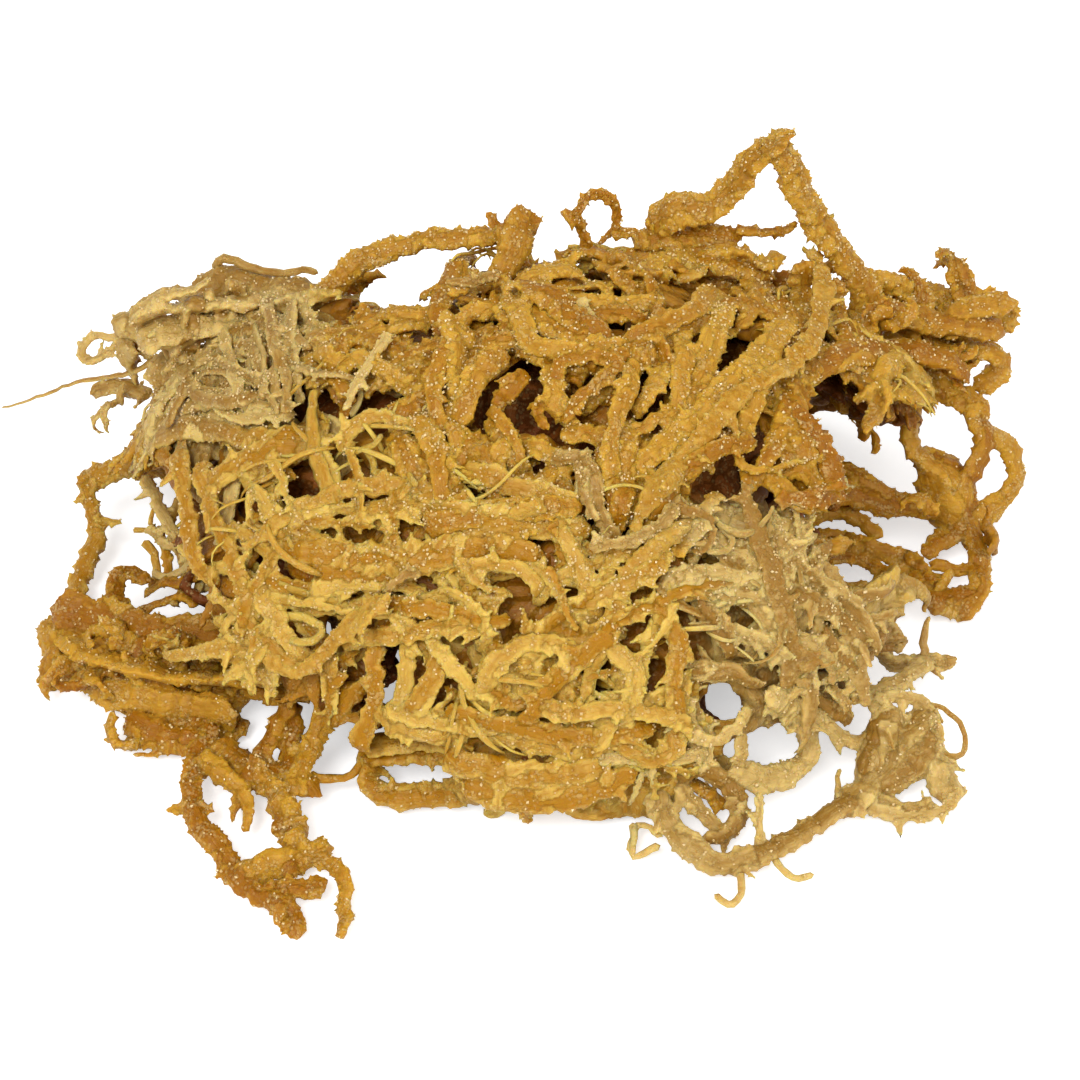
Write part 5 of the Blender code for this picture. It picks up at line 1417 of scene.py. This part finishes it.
surface(
    "fronds_far_left", 79, amber_jelly, "amber_frond",
    [
        (1.8, 1.6, (-83, -19, 7), (-84, -13, 10), (-86, -9, 12), (-84, -6, 13), (-81, -6, 13),
         (-79.5, -8, 12)),
        (1.3, 1.2, (-82, -17, 8), (-80, -14, 9), (-75, -12, 11), (-71, -11, 13), (-69, -13, 14)),
        (1.2, 1, (-76, -8, 12), (-72, -8.5, 14), (-68, -7, 16)),
        (3.2, 3, (-98.5, -17, 4), (-97, -23, 4), (-91, -27, 4), (-84, -31, 4), (-76, -33, 4),
         (-68, -33, 5), (-60, -31, 6)),
        (3, 3, (-97, -17, 5), (-90, -20, 6), (-83, -23, 7), (-75, -26, 7), (-66, -27, 8), (-58, -27, 9)),
        (3, 2.6, (-88, -18, 9), (-80, -19, 10), (-72, -21, 11), (-64, -22, 12), (-57, -22, 13)),
        (2.5, 2.2, (-74, -18, 13), (-68, -17, 15), (-62, -17, 17), (-57, -17, 18)),
        (2.6, 2.2, (-94, -21, 5), (-88, -24, 6), (-82, -27, 6), (-74, -30, 6), (-64, -30, 7)),
        (2.6, 2.2, (-80, -22, 9), (-73, -23, 10), (-66, -24, 10), (-58, -24, 11)),
        (3, 2.6, (-82, -36, 3), (-74, -38, 3), (-66, -37, 3), (-60, -37, 3)),
        (1.3, 0.5, (-72, -40, 3), (-77, -43, 2), (-82, -43, 2)),
        (2.2, 2, (-70, -34, 4), (-68, -38, 4), (-64, -42, 4)),
        (2.4, 2, (-62, -26, 9), (-57, -30, 10), (-52, -31, 11), (-46, -30, 13)),
        (5, 5, (-95, -15, 9), (-86, -17, 11), (-76, -19, 13), (-66, -20, 15), (-58, -21, 16)),
        (5, 5, (-94, -20, 8), (-85, -24, 10), (-75, -27, 11), (-65, -28, 12), (-58, -28, 13)),
        (4, 4, (-86, -30, 6), (-76, -33, 6), (-68, -34, 6), (-62, -36, 6)),
        (3, 2.6, (-81, -37, 4), (-74, -40, 4), (-67, -41, 4)),
    ],
    nodes=("left_curl", "left_mat_rim", "left_mat_middle", "left_mat_inner"), spurs=(6.0, 0.3, 1.4),
    teeth=0.6, flatness=(0.4, 0.6), sharp=0.45,
)
# ---------------------------------------------------------------------------------------------------
# The arch at the left and the fronds that dangle at the front: stems that stand clear of the heap or
# lie on the table past it, with short spurs along them.

surface(
    "fronds_left_arch", 80, light_jelly, "gold_frond",
    [
        (2.5, 2.2, (-68, 15, 27), (-73, 14, 22), (-80, 15, 19), (-86, 13.5, 16), (-91, 12, 14)),
        (2, 2, (-91, 12, 14), (-90, 6, 10), (-88, 1, 7), (-90, -4, 5), (-93, -9, 4), (-94, -15, 4),
         (-96, -19, 4)),
        (1, 0.8, (-88, 4, 9), (-84, 3.5, 9)),
        (0.5, 0.4, (-78, 3, 14), (-77.5, 6, 16), (-76, 9, 18)),
        (0.6, 0.5, (-81, 2, 12), (-77, 2, 13), (-73, 2.5, 15), (-70, 5, 18)),
        (1, 0.9, (-76, 2, 14), (-75, -2, 12), (-74, -6, 10), (-76, -9, 9), (-79, -10.5, 8)),
        (0.8, 0.7, (-79, -0.5, 12), (-77, -3, 11), (-76.5, -7, 9), (-78, -9.5, 8)),
    ],
    nodes=("left_arch_leg", "left_arch_top"), spurs=(6.0, 0.8, 2.4), teeth=0.6,
    flatness=(0.5, 0.7), sharp=0.5,
)
surface(
    "fronds_dangling", 81, amber_jelly, "gold_frond",
    [
        (2.5, 2, (-66, -38, 5), (-69, -45, 5), (-70, -50, 5), (-69, -55, 5), (-66, -60, 4), (-62, -65, 4),
         (-59, -70, 4), (-53, -73, 4), (-49, -75, 3), (-48.5, -79, 3)),
        (1.2, 0.7, (-70, -53, 5), (-74, -54, 4)),
        (1.1, 0.7, (-68, -53, 5), (-64.5, -54.5, 5)),
        (1.1, 0.7, (-52, -74, 4), (-52.5, -77, 3)),
        (2.5, 1, (-67, -44, 6), (-64, -46, 6), (-60, -50, 5), (-58, -53, 5), (-59, -58, 4)),
        (2.2, 2, (-50, -33, 12), (-53, -38, 9), (-56, -43, 7), (-58, -47, 6)),
        (3.2, 3, (-57, -46, 6), (-53, -50, 6), (-50, -55, 5), (-49, -60, 5), (-48, -64, 4)),
        (2.2, 2, (-43, -33, 14), (-44, -38, 11), (-46, -43, 8), (-48, -48, 7), (-52, -51, 6)),
        (0.9, 0.9, (-35, -41, 7), (-36, -45, 6), (-38, -47.5, 5), (-42, -48, 5), (-46, -47, 6)),
        (3.4, 2.6, (-59, -67, 4), (-52, -65, 4), (-46, -63, 4), (-43, -62, 4)),
        (1.8, 1.5, (-45, -63, 4), (-41, -65, 4), (-39, -67, 4), (-39, -72, 3), (-39, -76, 3), (-40, -79, 3)),
        (2.2, 1.8, (-54, -70, 4), (-50, -70, 4), (-46, -70, 4), (-43, -68, 4)),
        (2, 1.6, (-52, -57, 5), (-49, -62, 4), (-50, -67, 4)),
        (2.6, 2.4, (-64, -41, 5), (-60, -44, 5), (-56, -48, 5), (-52, -51, 5)),
        (2.4, 2.2, (-50, -33, 11), (-49.5, -40, 8), (-50, -46, 6), (-51, -52, 5)),
        (1.4, 0.5, (-60, -47, 5), (-60.5, -52, 4), (-62, -57, 3)),
        (3, 2.8, (-55, -46, 6), (-50, -47, 6), (-46, -50, 6)),
    ],
    nodes=("dangling_outer", "dangling_inner", "dangling_middle"), spurs=(4.5, 0.4, 2.0), teeth=0.6,
    flatness=(0.5, 0.7), sharp=0.45,
)
# ---------------------------------------------------------------------------------------------------
# Stray fronds of another colour: pale ones over the gold, and amber ones deep between them, as the
# jelly dries unevenly and no region of the heap is of one colour.

surface(
    "fronds_pale_accents", 82, pale_jelly, "pale_frond",
    [
        (1.3, 0.9, (-8, 50.5), (-13, 50), (-18, 48.5)),
        (1.2, 0.9, (8, 47), (10, 44), (12.5, 41)),
        (1.2, 1, (-30, 40), (-31, 37), (-34, 33), (-36, 29), (-38, 25)),
        (1.5, 0.5, (-24, -6), (-28, -8.5), (-32, -11)),
        (1.8, 1.4, (3, 17), (8, 16), (11.5, 13), (11, 9), (12, 4), (15, 0)),
        (1.2, 1, (7.5, 15), (7.5, 11), (9, 7), (11, 3)),
        (0.5, 0.5, (0, 9), (4, 7.7), (8, 8.5), (7.5, 12)),
        (1.5, 1.3, (25, 9), (27, 5), (30, 5.5), (33, 4), (34, 1), (33, -2), (30, -2.5)),
        (1.5, 1.3, (26, 8.5), (26, 5), (22, 1), (16, -1), (10, -1.5)),
        (0.7, 0.7, (33, 3), (31.5, -2), (35, -3), (38, -2.5), (39, 0), (36, 2), (34.5, 4)),
        (0.8, 0.6, (35, 3), (38, 1), (41, 0.5), (43.5, 2), (44.5, 4), (46, 6.5)),
        (1.3, 1.1, (-79, 12, 20), (-76, 6, 17), (-73, 1, 15), (-70, -5, 13), (-67, -10, 12)),
        (1.0, 0.8, (-78, 2, 14), (-75, -1, 13), (-71, -3, 13), (-67, -4, 14)),
        (1.1, 0.9, (-72, 8, 18), (-74, 3, 15), (-72, -3, 13), (-71, -9, 12), (-73, -13, 11)),
        (0.9, 0.7, (-68, 0, 16), (-71, -6, 13), (-75, -8, 12), (-78, -6, 11)),
        (1.3, 1.1, (-69, 8, 19), (-70, 0, 16), (-68, -7, 14), (-69, -12, 12)),
    ],
    spurs=(9.0, 1.5, 3.5), teeth=0.4, flatness=(0.4, 0.6), sharp=0.4, lift=1.6,
)
surface(
    "fronds_amber_accents", 83, amber_jelly, "amber_frond",
    [
        (2, 1.8, (-53, -5), (-48, -7), (-42, -9), (-36, -9), (-31, -9.5)),
        (2, 1.8, (-30, 44), (-29, 40), (-24, 38), (-22, 34), (-24, 30)),
        (1.6, 1.4, (52, -30), (57, -33), (61, -36), (65, -38)),
        (2.4, 2, (36, 8), (38, 4), (42, 4)),
        (2.2, 1.8, (-50, 44), (-46, 38), (-42, 32), (-40, 28)),
        (2.2, 1.8, (28, -48, 8), (33, -50, 7), (36, -53, 5)),
    ],
    spurs=(5.0, 1.2, 3.0), teeth=0.6, flatness=(0.4, 0.6), sharp=0.6, lift=-2.5,
)


# ---------------------------------------------------------------------------------------------------
# The back of the heap: the same kinds of fronds, from seeded random starts. None is laid by hand.
# It runs down to the table, and nothing hollows it.


def back_surface(name, seed, count, material):
    """The back of the heap, which is made up of the same kind of fronds."""
    rng = np.random.default_rng(seed)
    habit = {**BAND, "spurs": (5.0, 1.2, 4.0), "flatness": (0.35, 0.6), "teeth": 0.6, "hollow_room": None}
    strands = spread_fronds(
        rng, count, back_patch, flow=(0, 90), length=(20, 42), girth=(1.5, 2.9), depth=(-2.5, 1.0),
        habit=habit,
    )
    body = strands_mesh(name, rng, strands)
    grow_skin(body, grain=0.85, bends=1.2, lumpiness=0.5)
    tooth_edges(body, seed, height=0.5)
    finish_piece(body, material, strands=strands)


back_surface("fronds_back_gold", 84, 72, gold_jelly)
back_surface("fronds_back_light", 85, 60, light_jelly)
back_surface("fronds_back_amber", 86, 46, amber_jelly)

# ---------------------------------------------------------------------------------------------------
# The clumps: knots of short fronds round the large ones that stand proud of the heap, such as the peak,
# the right shoulder, the crusted mat at the left and the ragged rim at the front.


def wound_fronds(rng, count, path, spread, length, girth, teeth, flatness=(0.4, 0.7), curl=0.12):
    """Short fronds that wind round a path, given by points in mm."""
    step = 1.3
    path = np.array(path, float)
    shares = np.linspace(0, 1, len(path))
    strands = []
    for _ in range(count):
        share = rng.random()
        centre = np.array([np.interp(share, shares, path[:, axis]) for axis in range(3)])
        out = unit(rng.normal(0, 1, 3))
        heading = unit(rng.normal(0, 1, 3) * np.array([1, 1, 0.8]))
        axis = unit(np.cross(heading, out + 0.01))
        route = [centre + out * spread * rng.random() ** 0.5]
        thick = rng.uniform(*girth)
        for _ in range(max(5, int(rng.uniform(*length) / step))):
            axis = unit(axis + 0.25 * rng.normal(0, 1, 3))
            home = centre - route[-1]
            pull = 0.25 * max(0.0, np.linalg.norm(home) / spread - 1.0)
            heading = unit(turned(heading, axis, step * curl) + pull * unit(home + 0.01))
            following = route[-1] + step * heading
            following[2] = max(following[2], 0.5 * thick)
            if within(following, GAPS, 0.8 + 0.7 * thick):
                break
            route.append(following)
        if len(route) < 5:
            continue
        here = len(route)
        radii = thick * np.interp(np.linspace(0, 1, here), [0, 0.25, 1], [0.8, 1.0, 0.3])
        strand = {
            "route": np.array(route), "facing": np.tile(unit(out + np.array([0, -0.5, 0.6])), (here, 1)),
            "radii": radii * wavy(rng, here, 4, 0.8, 1.2), "tone": rng.uniform(0.0, 0.6),
            "teeth": teeth, "flatness": rng.uniform(*flatness), "twist": rng.uniform(-1.0, 1.0),
        }
        strands += [strand] + spurs_along(rng, strand, 6.0, 0.4, 1.6)
    return strands


def clump(name, seed, paths, material, slot, grain=0.55, **habits):
    """A knot of short fronds, fused where they touch. paths are (count, points) pairs."""
    rng = np.random.default_rng(seed)
    strands = []
    for count, path in paths:
        strands += wound_fronds(rng, count, path, **habits)
    body = strands_mesh(name, rng, strands)
    grow_skin(body, grain, bends=1.0, lumpiness=0.45, smoothing=1, crumbs=80.0)
    tooth_edges(body, seed, habits["teeth"])
    finish_piece(body, material, strands=strands)


clump(
    "clump_peak", 41,
    [
        (22, [(18, 46, 56), (38, 50, 62), (54, 48, 62), (72, 48, 52)]),
        (12, [(-4, 44, 60), (10, 46, 60), (24, 44, 60)]),
    ],
    gold_jelly, "gold_frond", spread=5, length=(8, 18), girth=(1.2, 2.2), teeth=0.8,
)
clump(
    "clump_right_shoulder", 42,
    [
        (26, [(70, 50, 48), (86, 54, 42), (100, 56, 40)]),
        (26, [(64, 40, 42), (80, 44, 36), (96, 46, 32)]),
    ],
    amber_jelly, "amber_frond", spread=6, length=(8, 20), girth=(1.5, 2.8), teeth=0.8,
)
clump(
    "clump_left_mat", 43,
    [
        (26, [(-90, -6, 7), (-84, -16, 6), (-72, -24, 6), (-54, -26, 8)]),
        (16, [(-84, -8, 11), (-72, -14, 13), (-58, -20, 15)]),
    ],
    amber_jelly, "amber_frond", spread=4, length=(8, 18), girth=(1.6, 2.8), teeth=0.6,
)
clump(
    "clump_pale_left", 44,
    [
        (14, [(-40, 46, 48), (-58, 52, 46), (-74, 52, 40)]),
        (12, [(-60, 44, 42), (-76, 44, 34), (-84, 44, 24)]),
    ],
    pale_jelly, "pale_frond", spread=5, length=(10, 24), girth=(1.0, 2.0), teeth=0.4,
)
clump(
    "clump_front_rim", 45,
    [
        (14, [(-30, -36, 13), (-10, -36, 13), (8, -38, 10)]),
        (14, [(-2, -46, 5), (14, -44, 6), (30, -40, 8)]),
        (8, [(30, -34, 14), (44, -30, 16)]),
    ],
    light_jelly, "gold_frond", spread=4, length=(8, 18), girth=(1.3, 2.4), teeth=0.6,
)
# The heart of the heap: coarse fronds under the arches at its two ends, seen from the sides.
clump(
    "clump_heart_right", 48,
    [
        (26, [(48, 4, 12), (62, 10, 11), (76, 16, 8), (86, 20, 6)]),
        (26, [(46, 18, 28), (60, 20, 24), (74, 24, 18), (86, 28, 12)]),
        (20, [(50, 36, 14), (66, 38, 12), (82, 38, 8)]),
        (24, [(40, -14, 14), (54, -6, 15), (66, 2, 13)]),
        (20, [(38, -2, 32), (52, 6, 30), (64, 10, 25)]),
    ],
    shaded_jelly, "amber_frond", grain=0.95, spread=8, length=(14, 34), girth=(1.8, 3.2), teeth=0.6,
)
clump(
    "clump_heart_left", 49,
    [
        (24, [(-40, 6, 14), (-56, 14, 12), (-70, 24, 9), (-78, 34, 7)]),
        (22, [(-42, 26, 26), (-58, 32, 20), (-72, 38, 14)]),
        (20, [(-34, -8, 14), (-48, -2, 14), (-60, 4, 11)]),
    ],
    shaded_jelly, "amber_frond", grain=0.95, spread=8, length=(14, 34), girth=(1.8, 3.2), teeth=0.6,
)
clump(
    "clump_rings", 47,
    [
        (6, [(80, 22, 24), (92, 18, 14), (94, 6, 5)]),
        (8, [(60, 14, 12), (76, 14, 10), (90, 10, 6)]),
    ],
    amber_jelly, "amber_frond", spread=3, length=(8, 16), girth=(1.0, 2.0), teeth=0.6,
)

# ---------------------------------------------------------------------------------------------------
# The threads: the finest branches, thin and pointed, which lie over the bands or stand off them.


def threads(name, seed, count, place, material, flow):
    """Thin threads that lie loose over the bands, so that they aren't fused."""
    rng = np.random.default_rng(seed)
    habit = {
        **BAND, "curl": 0.12, "flatness": (0.7, 1.0), "tip": 0.3, "teeth": 0.2, "forks": (1, 4),
        "hollow_room": None, "gap_room": 0.4, "weave": 1.4,
    }
    strands = spread_fronds(
        rng, count, place, flow, length=(10, 26), girth=(0.35, 0.65), depth=(0.5, 1.8), habit=habit
    )
    finish_piece(strands_mesh(name, rng, strands, sides=5), material, strands=strands)


threads("threads_left", 51, 9, front_patch(-36, 10, 30, 18), light_jelly, (0, 60))
threads("threads_low", 52, 8, front_patch(14, -14, 42, 18), light_jelly, (40, 60))
threads("threads_back", 54, 40, back_patch, light_jelly, (0, 90))

# ---------------------------------------------------------------------------------------------------
# The salt: coarse crystals left by the sea water, stuck all over the fronds and heaped in some places.

salt = bpy.data.materials.new("sea salt crystals")
salt.use_nodes = True
# Milky white, tinted tan in clouds 3 mm across, with a grain's glint.
place = add_node(salt, "ShaderNodeTexCoord", "Object")
cloud = add_node(salt, "ShaderNodeTexNoise", "Fac", inputs={"Vector": place, "Scale": 1 / (3.0 * MM)})
tint = add_node(
    salt, "ShaderNodeMix", 2, {"data_type": "RGBA"}, {0: cloud, 6: linear("#e6d0a0"), 7: linear("#cca85e")}
)
salt_shader = salt.node_tree.nodes["Principled BSDF"]
salt.node_tree.links.new(tint, salt_shader.inputs["Base Color"])
salt_shader.inputs["Roughness"].default_value = 0.25
salt_shader.inputs["IOR"].default_value = 1.54
salt_shader.inputs["Subsurface Weight"].default_value = 0.3
salt_shader.inputs["Subsurface Radius"].default_value = (1.0, 0.9, 0.7)
salt_shader.inputs["Subsurface Scale"].default_value = 0.4 * MM

# Where a crystal can lie: on any frond near the surface of the heap, where it faces up and forwards.
rng = np.random.default_rng(91)
up_and_forwards = np.array([0, -0.5, 0.85])
places, outs = [], []
for piece in bpy.context.scene.objects:
    if piece.name.startswith(("inner_frond", "clump_heart")):
        continue
    if piece.name.startswith(("fronds_", "clump_")) or piece.name.endswith("_skin"):
        corners, normals = corners_of(piece.data), normals_of(piece.data)
        shown = (heap_level(corners) > 0.85) & (normals @ up_and_forwards > 0.1)
        places.append(corners[shown])
        outs.append(normals[shown])
places, outs = np.vstack(places), np.vstack(outs)

# They crowd into drifts: five listed at the top and the left, and others at random, half of
# those high on the heap. Between the drifts they are few.
laid_drifts = ((31, 55), (6, 42), (-58, 28), (4, 45), (33, 53))
random_drifts = 110
high = places[places[:, 2] > 40]
drifts = np.vstack([
    *[on_heap(*spot) for spot in laid_drifts],
    places[rng.integers(0, len(places), random_drifts)],
    high[rng.integers(0, len(high), random_drifts)],
])
nearness = np.zeros(len(places))
for number, drift in enumerate(drifts):
    by_hand = number < len(laid_drifts)
    reach = 2.5 if by_hand else rng.uniform(1.5, 4.0)
    near = np.exp(-((places - drift) ** 2).sum(1) / reach**2)
    nearness = np.maximum(nearness, near * (1.0 if by_hand else 0.35))
chance = 0.1 + 0.1 * (places[:, 2] > 45) + nearness
CRYSTALS = 12_000
picked = rng.choice(len(places), CRYSTALS, replace=False, p=chance / chance.sum())

# Each crystal is an octahedron, squashed and turned at random, 0.2 to 0.9 mm long.
crystal = np.array([(1, 0, 0), (-1, 0, 0), (0, 1, 0), (0, -1, 0), (0, 0, 1), (0, 0, -1)], float)
sides = np.array([(0, 2, 4), (2, 1, 4), (1, 3, 4), (3, 0, 4), (2, 0, 5), (1, 2, 5), (3, 1, 5), (0, 3, 5)])
turns = np.linalg.qr(rng.normal(0, 1, (len(picked), 3, 3)))[0]
turns *= np.sign(np.linalg.det(turns))[:, None, None]
sizes = rng.uniform(0.14, 0.36, (len(picked), 1, 1)) * rng.uniform(0.75, 1.25, (len(picked), 1, 3))
grown = np.einsum("nij,nkj->nki", turns, crystal * sizes)
stand_off, least_height = 0.1, 0.02
grown = grown + (places[picked] + stand_off * outs[picked])[:, None, :]
grown[..., 2] = np.maximum(grown[..., 2], least_height)
faces = (sides[None] + 6 * np.arange(len(picked))[:, None, None]).reshape(-1, 3)
mesh = bpy.data.meshes.new("salt_crystals")
mesh.from_pydata((grown.reshape(-1, 3) * MM).tolist(), [], faces.tolist())
crystals = bpy.data.objects.new("salt_crystals", mesh)
bpy.context.scene.collection.objects.link(crystals)
mesh.materials.append(salt)
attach(crystals, "root")

# ---------------------------------------------------------------------------------------------------
# The table, the light and the camera.

bpy.ops.object.select_all(action="DESELECT")
bpy.ops.mesh.primitive_plane_add(size=6.0, location=(0, 0, -0.05 * MM))
table_top = bpy.context.object
table_top.name = "table_top"
white = bpy.data.materials.new("white table top")
white.use_nodes = True
white_shader = white.node_tree.nodes["Principled BSDF"]
white_shader.inputs["Base Color"].default_value = linear("#f2f2f2")
white_shader.inputs["Roughness"].default_value = 0.8
rays = add_node(white, "ShaderNodeLightPath", "Is Camera Ray")
seen = add_node(white, "ShaderNodeMath", "Value", {"operation": "MULTIPLY"}, {0: rays, 1: 0.5})
white.node_tree.links.new(seen, white_shader.inputs["Emission Strength"])
white_shader.inputs["Emission Color"].default_value = (1, 1, 1, 1)
table_top.data.materials.append(white)

room = bpy.data.worlds.new("soft room")
room.use_nodes = True
bpy.context.scene.world = room
rays = add_node(room, "ShaderNodeLightPath", "Is Camera Ray")
strength = add_node(
    room, "ShaderNodeMapRange", "Result", inputs={"Value": rays, "To Min": 0.68, "To Max": 1.0}
)
room_light = room.node_tree.nodes["Background"]
room_light.inputs["Color"].default_value = (1, 1, 1, 1)
room.node_tree.links.new(strength, room_light.inputs["Strength"])


def soft_lamp(name, place, size, power):
    """A round lamp, turned to the middle of the heap. place and size are in metres."""
    data = bpy.data.lights.new(name, "AREA")
    data.shape = "DISK"
    data.size = size
    data.energy = power
    lamp = bpy.data.objects.new(name, data)
    lamp.location = place
    lamp.rotation_euler = (Vector((0, 0, 20 * MM)) - Vector(place)).to_track_quat("-Z", "Y").to_euler()
    bpy.context.scene.collection.objects.link(lamp)


soft_lamp("key lamp", place=(-0.25, -0.55, 0.8), size=0.5, power=6.2)
soft_lamp("fill lamp", place=(0.7, -0.4, 0.55), size=0.6, power=2.5)

# The camera looks down at the middle of the heap from the front.
lens = bpy.data.cameras.new("camera")
lens.lens = 63.3
lens.sensor_width = 36.0
lens.clip_start = 0.01
camera = bpy.data.objects.new("camera", lens)
camera.location = Vector(EYE) * MM
camera.rotation_euler = Vector(LOOK).to_track_quat("-Z", "Y").to_euler()
bpy.context.scene.collection.objects.link(camera)
bpy.context.scene.camera = camera
bpy.context.scene.view_settings.view_transform = "Standard"
